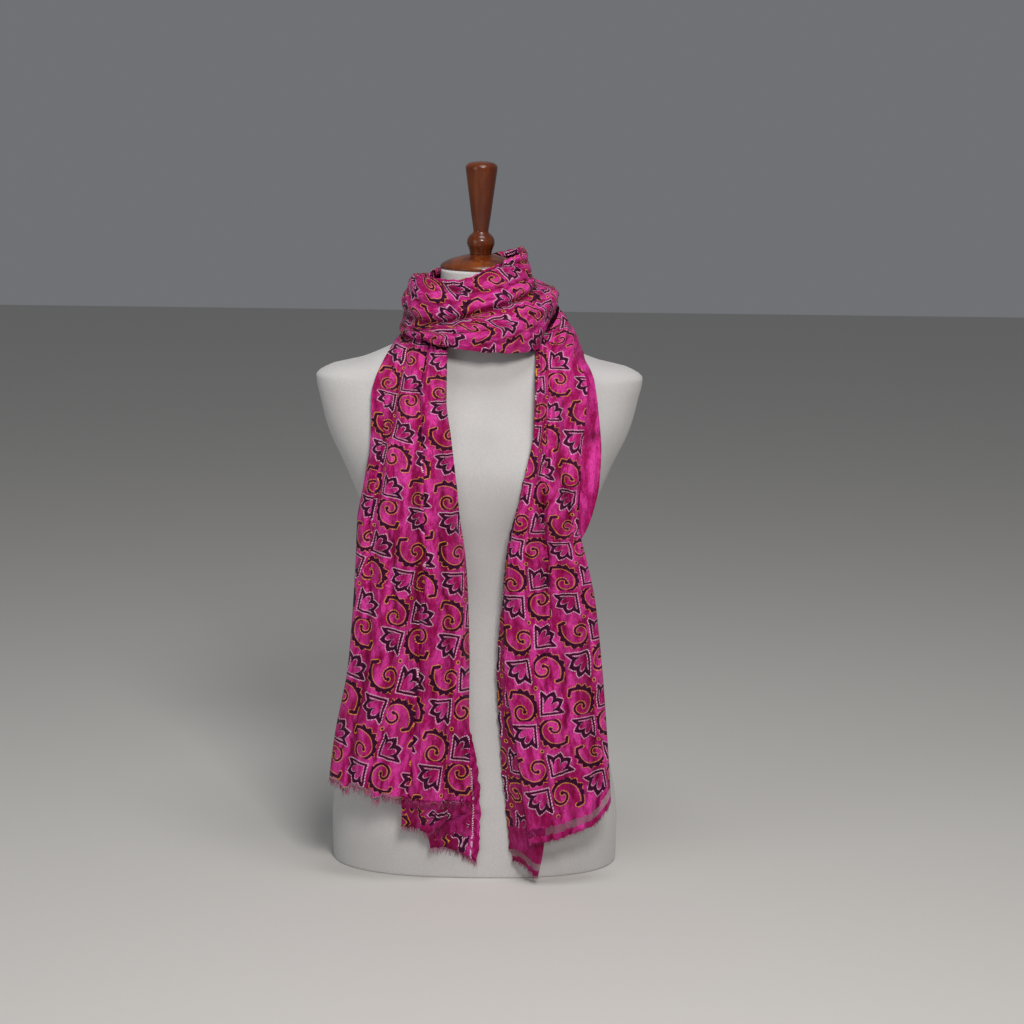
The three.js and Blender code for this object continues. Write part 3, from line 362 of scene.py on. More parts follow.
# Marks on the cloth, measured over its grid
RIPPLE_REACH = 5  # points over which the silk's ripples are levelled before its motifs are laid out
FOLD_SHADE_REACH = 14  # points on each side that a fold is measured against, for its painted shade
FOLD_SHADE_DEPTH = 1.8  # how far back a fold's foot lies before its painted shade is full

# Motifs, in millimetres and radians. `outer`, `inner` and `square` scale a gap to one square to the outline
FULL_TURN = 2 * math.pi
LINE = 1.05  # half width of a motif's thin outline
SOFT = 0.35  # blur of a printed edge
LEAF = {
    "corner": 12.8, "tip": 27.4, "notch": 5.6, "petal": 21.6, "cleft": 10.5, "narrow": 2.2,
    "swell": 3.6, "fan": math.radians(30), "outer": 0.85, "inner": 0.65, "run": 0.35,
}
SCROLL = {
    "x": 0.5, "y": -8.6, "start": 3.9, "growth": 0.225, "end": 8.35, "eye": 0.4, "square": 0.975,
    "half": 1.6, "thinner": 0.55, "thins": (2.0, 7.5),
}
THORN = {"from": 5.9, "to": 8.0, "high": 3.7, "pitch": 7.6}
FOOT = {"x": 0.25, "y": 0.97, "length": 6.5, "half": 1.75}  # the stroke that ends a scroll
KNOT = 1.9  # radius of the blob inside a scroll
DOT = 1.3  # radius of the dots between the motifs
PLACING = {"across": 2.2, "along": 1.8, "tilt": 0.16}  # how unevenly the motifs were worked
LEAF_DASH = {"pitch": 2.5, "gap": 0.34}
SCROLL_DASH = {"pitch": 2.3, "slip": 0.05, "gap": 0.26}
VEIN_SHARE = 0.9
# How far a thread lies from its printed edge, and where its own edge starts and ends to fade
THREAD_LINES = {
    "leaf": (0.95, 0.4, 0.75), "vein": (-0.75, 0.3, 0.6), "scroll": (0.9, 0.32, 0.66), "dot": (0.7, 0.3, 0.6),
}
WARP = {"per_cell": 60, "thread": (0.25, 0.75), "solid": 0.3, "haze": 0.16}  # the open band's threads

# Colours
SILK = (0.4, 0.006, 0.12)
# painted sheen: a lighter pink laid in random patches where the satin would catch the light
SILK_PAINTED_SHEEN = (0.76, 0.05, 0.36)
# a darker crimson, for the yarn's own slub streaks and for painted shade in broad bands
SILK_SLUB_AND_PAINTED_SHADE = (0.22, 0.001, 0.04)
# painted shade: deep crimson laid in the folds and under other layers
SILK_PAINTED_SHADE = (0.12, 0.0005, 0.016)
AUBERGINE = (0.012, 0.003, 0.014)
WHITE_THREAD = (0.8, 0.62, 0.72)
GOLD_THREAD = (0.74, 0.38, 0.02)
THREAD = (0.5, 0.05, 0.2)
THREAD_DARK = (0.2, 0.01, 0.06)
JERSEY = (0.6, 0.585, 0.57)
JERSEY_SOILED = (0.52, 0.505, 0.5)
JERSEY_KNIT = (0.4, 0.39, 0.385)
WOOD = (0.27, 0.062, 0.007)
WOOD_DARK = (0.1, 0.017, 0.003)
WOOD_DARKEST = (0.06, 0.01, 0.003)
PAINTED_SHADE_STRENGTH = {"valley": 0.9, "under": 0.6}  # painted shade: how much darker the silk is made in a fold and under a layer
PAINTED_UNDER_SHADE = {"middle": 0.8, "back": 1, "strip": 0.35}  # painted shade: how far each hidden part counts as under a layer, and so is darkened
RELIEF = {"running": 0.3, "thread": 0.12}  # heights beside the crinkles'
BUMPS = {"silk": (0.9, 0.004), "jersey": (0.25, 0.0004), "wood": (0.15, 0.0005)}  # strength and distance

# Gloss of each material, set on its own shader
SILK_FINISH = {
    "Roughness": 0.4, "Specular IOR Level": 0.6, "Specular Tint": (1, 0.15, 0.45, 1),
    "Sheen Weight": 0.03, "Sheen Roughness": 0.4, "Sheen Tint": (1, 0.2, 0.5, 1),
}
JERSEY_FINISH = {"Roughness": 0.92, "Specular IOR Level": 0.2, "Sheen Weight": 0.15}
WOOD_FINISH = {"Roughness": 0.3, "Specular IOR Level": 0.25, "Coat Weight": 0.4, "Coat Roughness": 0.1}
FLOOR_FINISH = {"Base Color": (0.62, 0.6, 0.57, 1), "Roughness": 0.85}

# Noises by use: scale, detail and stretch
NOISES = {
    "painted_sheen": (2.4, 4, (1.6, 0.5, 1)), "slub": (9.0, 4, (5.0, 0.7, 1)), "bands": (1.0, 2, (1.9, 0.22, 1)),
    "crinkle": (8.0, 5, (2.2, 0.8, 1)), "running": (30.0, 2, (1.0, 0.35, 1)),
    "thread": (120, 2, (1, 1, 1)), "soiling": (7, 4, (1, 1, 1)), "knit": (900, 2, (1, 1, 0.55)),
    "grain": (60, 6, (1, 1, 0.09)), "cloud": (22, 3, (1, 1, 0.4)),
}
# Patches of colour by the noise that makes them: full below the first value, gone above the second, and
# their share where full. The lighter silk patches are painted sheen and the broad silk bands painted shade
PATCHES = {
    "painted_sheen": (0.42, 0.6, 1), "slub": (0.3, 0.5, 0.6), "bands": (0.4, 0.55, 0.5), "thread": (0.35, 0.65, 1),
    "soiling": (0.35, 0.7, 1), "knit": (0.4, 0.6, 0.25), "grain": (0.38, 0.62, 1), "cloud": (0.45, 0.75, 0.6),
}

# The form's foot edge: height and rounding
FORM_FOOT = [(0, 1.2), (0.6, 0.4), (2, 0)]
# Profiles of the wooden top: inset and height at the cap's edge, share of its radius and height on its
# crown, radius and height of the finial's stem, and radius and depth below its top at its head
CAP_EDGE = [(1.2, 0), (0.3, 0.9), (0, 2), (0.3, 3.2), (1, 4.2)]
CAP_CROWN = [
    (0.93, 6.3), (0.84, 8.6), (0.72, 11), (0.6, 12.8), (0.48, 14.3), (0.36, CAP_HEIGHT - 0.8),
    (0.28, CAP_HEIGHT),
]
FINIAL_STEM = [
    (12.8, 0), (13.2, 3), (14.4, 7), (15.8, 10.5), (16.3, 13.5), (15.9, 17.5), (13.7, 21.5),
    (10.4, 24.4), (9, 26.5), (9.3, 31), (11.6, 46), (14, 64), (16.4, 82), (18, 94),
]
FINIAL_HEAD = [(18.8, 8), (18, 4.6), (13.8, 1.6), (6.8, 0.2)]

# Frayed threads, and for each fringe their length, number, node and seed
FRINGE = {
    "bones": 4, "lengths": (0.35, 1.0), "lean": 0.5, "curl": 0.25, "radii": (0.16, 0.3), "taper": 0.55,
    "strays": np.array((0.6, 0.25)), "above": 1.2, "lifts": 0.12,
}
FRINGES = {
    "fringe_left": (9, 420, "fringe_left_front", 21),
    "fringe_left_mid": (9, 150, "fringe_left_middle", 22),
    "fringe_left_low": (9, 150, "fringe_left_back", 23),
    "fringe_right": (4.5, 190, "fringe_right_front", 24),
    "fringe_right_low": (6, 130, "fringe_right_back", 25),
}

# Sheets of cloth by piece: the node that each stands for, and its flat width and length in metres
SHEETS = {
    "panel_left": ("drape_left_front", (0.165, 0.545)),
    "panel_left_middle": ("drape_left_middle", (0.06, 0.57)),
    "panel_left_back": ("drape_left_back", (0.045, 0.6)),
    "panel_right": ("drape_right_front", (0.1, 0.56)),
    "panel_right_back": ("drape_right_back", (0.05, 0.6)),
    "selvedge": ("selvedge_right", (0.028, 0.19)),
    "wrap_back_inner": ("neck_back_inner", (0.08, 0.17)),
    "wrap_front": ("neck_front", (0.11, 0.33)),
    "wrap_back_outer": ("neck_back_outer", (0.09, 0.21)),
    "strand_left": ("shoulder_left", (0.065, 0.08)),
    "strand_right": ("shoulder_right", (0.065, 0.17)),
}

# Studio, in metres and watts: each lamp's place, size, power and colour
FLOOR_SIZE = 6.0
SKY = {"Color": (0.8, 0.83, 0.88, 1), "Strength": 0.2}
LIGHT_TARGET = (0, 0, 0.5)
LIGHTS = [
    ("key", (0.45, -2.2, 2.0), 0.6, 43, (1, 0.97, 0.94)),
    ("fill", (-1.9, -1.8, 1.1), 1.4, 9, (0.92, 0.95, 1)),
    ("top", (0.2, -0.5, 2.3), 0.8, 14, (1, 1, 1)),
]


def track(rows, by, of):
    """A smooth curve through one column of a table, with no overshoot between its rows."""
    x, y = rows[by], rows[of]
    slope = np.diff(y) / np.diff(x)
    tangent = np.empty(len(x))
    tangent[0], tangent[-1] = slope[0], slope[-1]
    product = slope[:-1] * slope[1:]
    total = slope[:-1] + slope[1:]
    inner = np.zeros(len(product))
    same = product > 0
    inner[same] = 2 * product[same] / total[same]
    tangent[1:-1] = inner

    def value(at):
        at = np.clip(np.asarray(at, float), x[0], x[-1])
        i = np.clip(np.searchsorted(x, at, side="left") - 1, 0, len(x) - 2)
        step = x[i + 1] - x[i]
        t = (at - x[i]) / step
        return (
            y[i] * (1 + 2 * t) * (1 - t) ** 2
            + y[i + 1] * t * t * (3 - 2 * t)
            + step * (tangent[i] * t * (1 - t) ** 2 - tangent[i + 1] * t * t * (1 - t))
        )

    return value


def columns_of(rows, by, names):
    """The curves of some columns of a table, in the order of their names."""
    return [track(rows, by, name) for name in names.split()]


def all_columns(rows):
    """The curve of each column of a table but the first, by name."""
    by, *names = rows
    return dict(zip(names, columns_of(rows, by, " ".join(names))))


def mix(a, b, t):
    return a + (b - a) * t


def smooth(t):
    t = np.clip(t, 0, 1)
    return t * t * (3 - 2 * t)


def smooth_max(a, b, soft):
    return (a + b + np.sqrt((a - b) ** 2 + soft**2)) / 2


def unit(v):
    return v / np.maximum(np.linalg.norm(v, axis=-1, keepdims=True), 1e-9)


# The form's surface

body_half, body_front, body_back = columns_of(BODY, "z", "half front back")


def bust_depth(x, z):
    side = (np.abs(x) - BUST["x"]) / BUST["width"]
    up = (z - BUST["z"]) / BUST["height"]
    return BUST["depth"] * np.exp(-side * side - up * up)


def body_reach(x, z):
    """How far the form's front lies before its middle at x, z, and 0 past its sides."""
    side = np.minimum(np.abs(x) / body_half(z), 1)
    return (body_front(z) + bust_depth(x, z)) * (1 - side**BODY_POWER) ** (1 / BODY_POWER)


lie_front, lie_ridge, lie_fall = columns_of(DRAPE_LIE, "z", "front ridge fall")


def drape_lie(x, z):
    side = (np.abs(x) - lie_ridge(z)) / FALL_REACH
    return lie_front(z) - lie_fall(z) * side * side


def clear_of_body(x, z, reach, clearance=BODY_CLEARANCE):
    """The y of cloth that would stand `reach` before the middle, kept clear of the form."""
    beside = body_reach(np.abs(x) - BESIDE["x"], z - BESIDE["z"])
    return -smooth_max(reach, np.maximum(body_reach(x, z), beside) + clearance, KEPT_CLEAR["soft"])


def fold_depth(folds, gain=1.0):
    """The depth of all folds at a share u of the width, 0 on the ridges."""
    tracks = [columns_of(fold, "z", "at deep wide") for fold in folds]

    def depth(u, z):
        total = 0
        for at, deep, wide in tracks:
            total = total + gain * deep(z) * np.exp(-(((u - at(z)) / wide(z)) ** 2))
        return total

    return depth


left_edge = all_columns(LEFT_EDGES)
right_edge = all_columns(RIGHT_EDGES)
left_middle_edge = all_columns(LEFT_MIDDLE_EDGES)
left_back_edge = all_columns(LEFT_BACK_EDGES)
inner_roll = all_columns(INNER_ROLL)
left_folds = fold_depth(LEFT_FOLDS)
right_folds = fold_depth(RIGHT_FOLDS)
left_creases = fold_depth(LEFT_CREASES, SILK_CREASE_GAIN)
right_creases = fold_depth(RIGHT_CREASES, SILK_CREASE_GAIN)


def edge_roll(u, inner, outer):
    """How far a drape's two edges turn back at a share u of its width."""
    at_inner = np.clip((ROLL_SHARE - u) / ROLL_SHARE, 0, 1)
    at_outer = np.clip((u - 1 + ROLL_SHARE) / ROLL_SHARE, 0, 1)
    return inner * at_inner**2 + outer * at_outer**2


def knife_folds(tucks):
    """Moves shares of cloth to shares of width, so that the cloth passes under itself at each tuck."""
    tracks = [columns_of(tuck, "z", "at over deep") for tuck in tucks]

    def shares(c, z):
        overs = [over(z) + 2 * TUCK_BAND * smooth(over(z) / TUCK_OPENS) for _, over, _ in tracks]
        total = sum(overs)
        moved, depth = c + 0 * z, 0 * c * z
        before = 0
        for (at, over, deep), take in zip(tracks, overs):
            place = at(z) * (1 - total) + before + take / 2
            turned = smooth((c - place + TUCK_BAND) / (2 * TUCK_BAND))
            moved = moved - take * turned
            level = np.where(deep(z) > 0, 1 - turned, turned)
            fade = np.exp(-((np.maximum(np.abs(c - place) - TUCK_BAND, 0) / TUCK_FADE) ** 2))
            depth = depth + np.abs(deep(z)) * level * fade
            before = before + take
        return moved / (1 - total), depth

    return shares


left_tucks = knife_folds(LEFT_TUCKS)
right_tucks = knife_folds(RIGHT_TUCKS)


def crumple(seed, across, along):
    """A sum of waves with drawn lengths and phases, which run mostly along the warp."""
    draw = np.random.default_rng(seed)
    waves = [
        (
            2 * math.pi / draw.uniform(*across),
            2 * math.pi / draw.uniform(*along) * draw.choice((-1, 1)),
            draw.uniform(0, 2 * math.pi),
        )
        for _ in range(WAVES)
    ]

    def height(x, z):
        total = sum(np.sin(kx * x + kz * z + phase) for kx, kz, phase in waves)
        return total / math.sqrt(WAVES)

    return height


ripple = crumple(*RIPPLE)
wrinkle = crumple(*WRINKLE)


def front_surface(x, z, share, back, side, lean):
    """A front layer's x and y, with its edges turned back and its ripples."""
    back = back + edge_roll(share, inner_roll[side](z), OUTER_ROLL[side])
    fine = WAVE_HEIGHTS["ripple"] * ripple(x + lean * z, z) + WAVE_HEIGHTS["wrinkle"] * wrinkle(x, z)
    return x, clear_of_body(x, z, drape_lie(x, z) - back, KEPT_CLEAR["silk"]) - fine


def left_front(c, z):
    share, step = left_tucks(c, z)
    x = mix(left_edge["inner"](z), left_edge["outer"](z), share)
    back = left_folds(share, z) + left_creases(share, z) + step
    return front_surface(x, z, share, back, "left", WAVE_LEAN["left"])


def left_behind(edge, pleat, air):
    """The surface of a layer behind the left drape's front, `air` further back and with softer folds."""
    def at(c, z):
        x = mix(edge["inner"](z), edge["outer"](z), c)
        width = left_edge["outer"](z) - left_edge["inner"](z)
        share = (x - left_edge["inner"](z)) / width
        back = left_folds(share, z) * pleat + air
        return x, clear_of_body(x, z, drape_lie(x, z) - back) - WAVE_HEIGHTS["behind"] * wrinkle(x, z)

    return at


def right_front(c, z):
    share, step = right_tucks(c, z)
    x = mix(right_edge["ridge"](z), right_edge["outer"](z), share)
    back = right_folds(share, z) + right_creases(share, z) + step
    return front_surface(x, z, share, back, "right", -WAVE_LEAN["right"])


def right_behind(c, z):
    inner, ridge = right_edge["inner"](z), right_edge["ridge"](z)
    x = mix(inner, right_edge["under"](z), c)
    covered = np.maximum(x, ridge)
    share = (covered - ridge) / (right_edge["outer"](z) - ridge)
    turned = np.maximum((ridge - x) / (ridge - inner), 0)
    away = np.sqrt(turned**2 + TURN_ROUNDING**2) - TURN_ROUNDING
    back = right_folds(share, z) * UNDER_PLEAT + right_edge["turn"](z) * away
    fine = WAVE_HEIGHTS["wrinkle"] * wrinkle(x, z) * smooth(turned * 3)
    return x, clear_of_body(x, z, drape_lie(covered, z) - back) - fine


def layer_grid(at, top, layer, out=0.0):
    """Points of a layer from its top to its frayed hem, moved out along its normal."""
    columns, rows, jag, seed = GRIDS[layer]
    hem = HEMS[layer]
    c = np.linspace(0, 1, columns + 1)[None, :]
    r = (np.linspace(0, 1, rows + 1) ** ROW_SPREAD)[:, None]
    hem_z = track(hem, "x", "z")(at(c, hem["z"][0] + 0 * c)[0])
    frayed = np.convolve(np.random.default_rng(seed).normal(size=columns + 1), JAG_BLUR, "same")
    z = mix(mix(top[0], top[1], c), hem_z + jag * frayed[None, :], r)
    x, y = at(c + 0 * r, z)
    points = np.stack([x, y, z], -1)
    return points + out * grid_normals(points)


def grid_normals(points):
    across = np.gradient(points, axis=1)
    down = np.gradient(points, axis=0)
    return unit(np.cross(across, down))


def spline(points, t):
    """A uniform spline through points of shape (n, ..., k) at t from 0 to 1."""
    last = len(points) - 1
    place = t * last
    i = np.minimum(np.floor(place).astype(int), last - 1)
    w = (place - i)[..., None]
    p0, p1 = points[np.maximum(i - 1, 0)], points[i]
    p2, p3 = points[i + 1], points[np.minimum(i + 2, last)]
    w = w.reshape(w.shape[:1] + (1,) * (p1.ndim - 2) + (1,)) if p1.ndim > 2 else w
    a, b = (p2 - p0) * 0.5, (p3 - p1) * 0.5
    return (2 * p1 - 2 * p2 + a + b) * w**3 + (-3 * p1 + 3 * p2 - 2 * a - b) * w**2 + a * w + p1


turn = all_columns(NECK_TURN)


def turn_section(bearing):
    """Control points of the turn's upright section at a bearing, from its top roll to its lower edge."""
    at = {key: float(value(bearing)) for key, value in turn.items()}
    return np.array([
        *((at["topR"] - inside, at["topZ"] - down) for inside, down in TOP_ROLL),
        (at["upR"], mix(at["topZ"], at["creaseZ"], 0.5)),
        (at["creaseR"], at["creaseZ"]),
        (at["lobeR"], at["lobeZ"]),
        *((at["lowR"] - inside, at["lowZ"] + up) for inside, up in LOW_ROLL),
    ])


def turn_grid(start, end, columns, rows, creases):
    """Points of a stretch of the turn: rows go down its section and columns along it."""
    t = np.linspace(0, 1, rows + 1)
    bearings = np.linspace(start, end, columns + 1)
    sections = np.stack([spline(turn_section(b), t) for b in bearings], 1)
    tangent = np.gradient(sections, axis=0)
    normal = unit(np.stack([tangent[..., 1], -tangent[..., 0]], -1))
    depth = np.zeros(sections.shape[:2])
    for crease in creases:
        at, deep, wide = (column(bearings) for column in columns_of(crease, "bearing", "at deep wide"))
        depth += CREASE_GAIN * deep * np.exp(-(((t[:, None] - at) / wide) ** 2))
    along = np.radians(bearings)[None, :] * WRAP_REACH
    fine = crumple(TURN_SEED, *TURN_WAVES)(along, sections[..., 1] + WAVE_LEAN["turn"] * along)
    edge = (smooth(t * TURN_CALM) * smooth((1 - t) * TURN_CALM))[:, None]
    sections = sections + normal * ((depth - WAVE_HEIGHTS["turn"] * fine) * edge)[..., None]
    angle = np.radians(bearings)[None, :]
    radius, height = sections[..., 0], sections[..., 1]
    return np.stack([radius * np.sin(angle), -radius * np.cos(angle), height], -1)


def shoulder_grid(side, stations, drape_rows, folds, top, wider):
    """Points of the strand over a shoulder, from the neck to the first rows of a drape."""
    columns, rows, seed = STRAND_GRIDS[side]
    c = np.linspace(0, 1, columns + 1)
    run = []
    for neck_x, neck_y, neck_z, out_x, out_y, out_z, bulge in stations:
        at_neck = np.array([neck_x, neck_y, neck_z], float)
        at_out = np.array([out_x, out_y, out_z], float)
        across = unit(at_out - at_neck)
        out = at_neck + at_out
        out[2] = 0
        out = unit(out)
        out = unit(out - across * out.dot(across))
        swell = bulge * 4 * c * (1 - c) - folds(c * wider, top) * SHOULDER_PLEAT
        run.append(mix(at_neck, at_out, c[:, None]) + out * swell[:, None])
    run += [drape_rows(c * wider, 0.0), drape_rows(c * wider, NEXT_ROW)]
    run = np.array(run)
    share = np.linspace(0, 1, rows + 1)
    t = share * (len(stations) / (len(run) - 1))
    points = spline(run, t)
    fine = crumple(seed, *STRAND_WAVES)(c[None, :] * STRAND_RUN["across"], t[:, None] * STRAND_RUN["along"])
    keep = smooth(share * STRAND_CALM[0]) * smooth((1 - share) * STRAND_CALM[1])
    return points + grid_normals(points) * (WAVE_HEIGHTS["strand"] * fine * keep[:, None])[..., None]


def drape_top_rows(at, top, hem):
    """A drape's surface by share of width and share of height, as the strand meets it."""
    hem_track = track(hem, "x", "z")

    def rows(c, r):
        hem_z = hem_track(at(c, hem["z"][0] + 0 * c)[0])
        z = mix(mix(top[0], top[1], c), hem_z, r)
        x, y = at(c, z)
        return np.stack([x, y, z], -1)

    return rows


selvedge_outer = track(SELVEDGE_EDGES, "z", "outer")


def selvedge_top(c):
    """The height of the strip's upper end at a share of its width."""
    return np.minimum(SELVEDGE["top"], mix(SELVEDGE["inner"], SELVEDGE["outer"], c))


def selvedge_depth(x, z):
    """The y of the selvedge at x, z, from where it leaves the drape to its free edge."""
    start = right_edge["outer"](z) - SELVEDGE_HIDDEN
    c = np.clip((x - start) / (selvedge_outer(z) - start), 0, 1)
    reach = drape_lie(right_edge["outer"](z), z) - SELVEDGE["behind"] - SELVEDGE["curl"] * c * c
    beyond = np.clip((c - SELVEDGE_LIFT["from"]) / (1 - SELVEDGE_LIFT["from"]), 0, 1)
    share = (selvedge_top(c) - z) / (selvedge_top(c) - SELVEDGE["low"])
    rise = np.clip(1 - share / SELVEDGE_LIFT["rows"], 0, 1)
    lift = (BODY_CLEARANCE - SELVEDGE["clearance"]) * beyond * rise
    fine = WAVE_HEIGHTS["selvedge"] * ripple(x, z * 1.6)
    return clear_of_body(x, z, reach, SELVEDGE["clearance"] + lift) - fine


def selvedge_grid():
    columns, rows = SELVEDGE_GRID
    c = np.linspace(0, 1, columns + 1)[None, :]
    r = np.linspace(0, 1, rows + 1)[:, None]
    z = mix(selvedge_top(c), SELVEDGE["low"], r)
    x = mix(right_edge["outer"](z) - SELVEDGE_HIDDEN, selvedge_outer(z), c)
    return np.stack([x, selvedge_depth(x, z), z], -1)


def strand_foot_rows(share, r):
    """The right drape and, past its outer edge, the selvedge, as the strand above meets them."""
    front = drape_top_rows(right_front, RIGHT_TOP, HEMS["right"])(np.minimum(share, 1), r)
    past = np.clip((share - 1) / (STRAND_WIDER - 1), 0, 1)
    z = mix(front[..., 2], mix(SELVEDGE["outer"], HEMS["right"]["z"][-1], r), past)
    x = mix(front[..., 0], selvedge_outer(z), past)
    y = mix(front[..., 1], selvedge_depth(x, z), smooth(past * 4))
    return np.stack([x, y, z], -1)


# Flat-cloth coordinates, in motif cells

def blurred(points, axis, reach):
    """Each point moved to the mean of its neighbours within `reach` steps along an axis of the grid."""
    spread = np.hanning(2 * reach + 3)[1:-1]
    spread = spread / spread.sum()
    margin = [(0, 0)] * 3
    margin[axis] = (reach, reach)
    padded = np.pad(points, margin, "edge")
    size = points.shape[axis]
    return sum(w * np.take(padded, np.arange(k, k + size), axis) for k, w in enumerate(spread))


def arc(points, axis):
    """Lengths along one axis of a grid of points."""
    step = np.linalg.norm(np.diff(points, axis=axis), axis=-1)
    start = np.zeros_like(np.take(step, [0], axis=axis))
    return np.concatenate([start, np.cumsum(step, axis=axis)], axis=axis)


def grain_cells(points, grain, column, flip=1):
    """Motif cell of each point, from the run of one warp thread and the way that the weft crosses it."""
    z = points[..., 2]
    grain_x = track(grain, "z", "x")
    row = track(grain, "z", "row")
    across = arc(blurred(points, 1, RIPPLE_REACH), 1) * flip
    thread = np.empty(z.shape[0])
    for j in range(z.shape[0]):
        x = points[j, :, 0]
        order = np.argsort(x)
        thread[j] = np.interp(float(grain_x(z[j].mean())), x[order], across[j][order])
    beside = across - thread[:, None]
    edge = points[..., 0]
    beyond = np.minimum(grain_x(z) - edge.min(1, keepdims=True), 0)
    beyond = beyond + np.maximum(grain_x(z) - edge.max(1, keepdims=True), 0)
    beside = beside - beyond
    slope = -(grain_x(z + GRAIN_STEP) - grain_x(z - GRAIN_STEP)) / (2 * GRAIN_STEP)
    lean = np.sqrt(1 + slope**2)
    cell_u = column + beside / lean / STITCH_PITCH["across"]
    cell_v = row(z) + slope / lean * beside / STITCH_PITCH["along"]
    return np.stack([cell_u, cell_v], -1)


def arc_cells(points, column, row, swap=False):
    """Motif cell of each point from lengths along the grid; swap where the columns follow the warp."""
    across, down = arc(blurred(points, 1, RIPPLE_REACH), 1), arc(blurred(points, 0, RIPPLE_REACH), 0)
    if swap:
        across, down = down, across
    return np.stack([column + across / STITCH_PITCH["across"], row + down / STITCH_PITCH["along"]], -1)


# Meshes

def painted_fold_shade(points):
    """Painted shade in the folds: 0 on the open cloth and up to 1 in the folds, from how far a point lies
    behind those round it.
    """
    around = blurred(blurred(points, 0, FOLD_SHADE_REACH), 1, FOLD_SHADE_REACH)
    out = grid_normals(points)
    out = out * np.sign((out * points * (1, 1, 0)).sum(-1, keepdims=True))
    return np.clip(((around - points) * out).sum(-1) / FOLD_SHADE_DEPTH, 0, 1)


def corners(grid):
    """What a grid holds at the four corners of each of its faces."""
    return np.stack([grid[:-1, :-1], grid[1:, :-1], grid[1:, 1:], grid[:-1, 1:]], 2)


def smooth_mesh(name, vertices, faces, material):
    mesh = bpy.data.meshes.new(name)
    mesh.from_pydata(vertices, [], faces)
    mesh.materials.append(material)
    mesh.polygons.foreach_set("use_smooth", [True] * len(mesh.polygons))
    mesh.update()
    return mesh


def placed(name, data):
    """A new object in the scene that shows a mesh, a light or a camera."""
    made = bpy.data.objects.new(name, data)
    bpy.context.scene.collection.objects.link(made)
    return made


def grid_piece(name, points, cells, material, marks=None, split=None, other=None):
    """A thin cloth shell on a grid of points. Where `split` holds, the faces take `other` cells."""
    index = np.arange(points[..., 0].size).reshape(points.shape[:2])
    faces = corners(index).reshape(-1, 4).tolist()
    mesh = smooth_mesh(name, (points.reshape(-1, 3) * MM).tolist(), faces, material)
    flat = corners(cells)
    if split is not None:
        flat = np.where(corners(split).all(2)[..., None, None], corners(other), flat)
    layer = mesh.uv_layers.new(name="cloth")
    layer.data.foreach_set("uv", flat.reshape(-1).astype(np.float32))
    # every cloth piece carries its painted fold shade as its valley mark
    for mark, values in {"valley": painted_fold_shade(points), **(marks or {})}.items():
        attribute = mesh.attributes.new(mark, "FLOAT", "POINT")
        attribute.data.foreach_set("value", np.asarray(values, np.float32).reshape(-1))
    piece = placed(name, mesh)
    shell = piece.modifiers.new("shell", "SOLIDIFY")
    shell.thickness = CLOTH * MM
    shell.offset = 0
    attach(piece, "root")
    return piece


def solid_piece(name, vertices, faces, material, node):
    mesh = smooth_mesh(name, [tuple(vertex) for vertex in vertices], faces, material)
    piece = placed(name, mesh)
    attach(piece, "root")
    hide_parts(node)
    return piece


# Shader maths

def maths(operation):
    """A method that adds one maths node."""
    return lambda self, *others: self.node(operation, *others)


class Term:
    """A number in a node tree, so that a pattern reads as plain maths."""

    def __init__(self, tree, socket):
        self.tree, self.socket = tree, socket

    def node(self, operation, *others):
        made = self.tree.nodes.new("ShaderNodeMath")
        made.operation = operation
        for slot, value in zip(made.inputs, (self, *others)):
            if isinstance(value, Term):
                self.tree.links.new(value.socket, slot)
            else:
                slot.default_value = value
        return Term(self.tree, made.outputs[0])

    __add__ = maths("ADD")
    __sub__ = maths("SUBTRACT")
    __mul__ = maths("MULTIPLY")
    __truediv__ = maths("DIVIDE")
    __abs__ = maths("ABSOLUTE")
    floor = maths("FLOOR")
    fract = maths("FRACT")
    power = maths("POWER")
    least = maths("MINIMUM")
    most = maths("MAXIMUM")
    above = maths("GREATER_THAN")
    below = maths("LESS_THAN")
    angle = maths("ARCTAN2")

    def __neg__(self):
        return self * -1.0

    def choose(self, yes, no):
        """yes where this is 1 and no where it is 0."""
        return (self * (yes - no)) + no

    def fade(self, low, high):
        """1 below low and 0 above high."""
        made = self.tree.nodes.new("ShaderNodeMapRange")
        made.interpolation_type = "SMOOTHSTEP"
        self.tree.links.new(self.socket, made.inputs["Value"])
        limits = {"From Min": low, "From Max": high, "To Min": 1.0, "To Max": 0.0}
        set_values(made, limits)
        return Term(self.tree, made.outputs["Result"])


def set_values(node, values):
    for name, value in values.items():
        node.inputs[name].default_value = value


def hypotenuse(a, b):
    return (a * a + b * b).power(0.5)


def leaf_motif(x, y):
    """Distances to a fan-shaped leaf's outer and inner outline, and a length along them."""
    a, b = x + LEAF["corner"], -y + LEAF["corner"]
    radius = hypotenuse(a, b)
    ray = (b.angle(a) / LEAF["fan"] + 0.5).fract() - 0.5
    away = abs(ray) * 2
    middle = a * b * 2 / (radius * radius)
    swell = middle * middle * LEAF["swell"]
    outer = (radius - swell - (away * -LEAF["notch"] + LEAF["tip"])) * LEAF["outer"]
    outer = outer.most(-a - LINE).most(-b - LINE)
    petals = away.power(LEAF["narrow"]) * -LEAF["cleft"] + LEAF["petal"]
    inner = (radius - swell - petals) * LEAF["inner"]
    inner = inner.most(-a + LINE).most(-b + LINE)
    return outer, inner, a - b + radius * LEAF["run"]


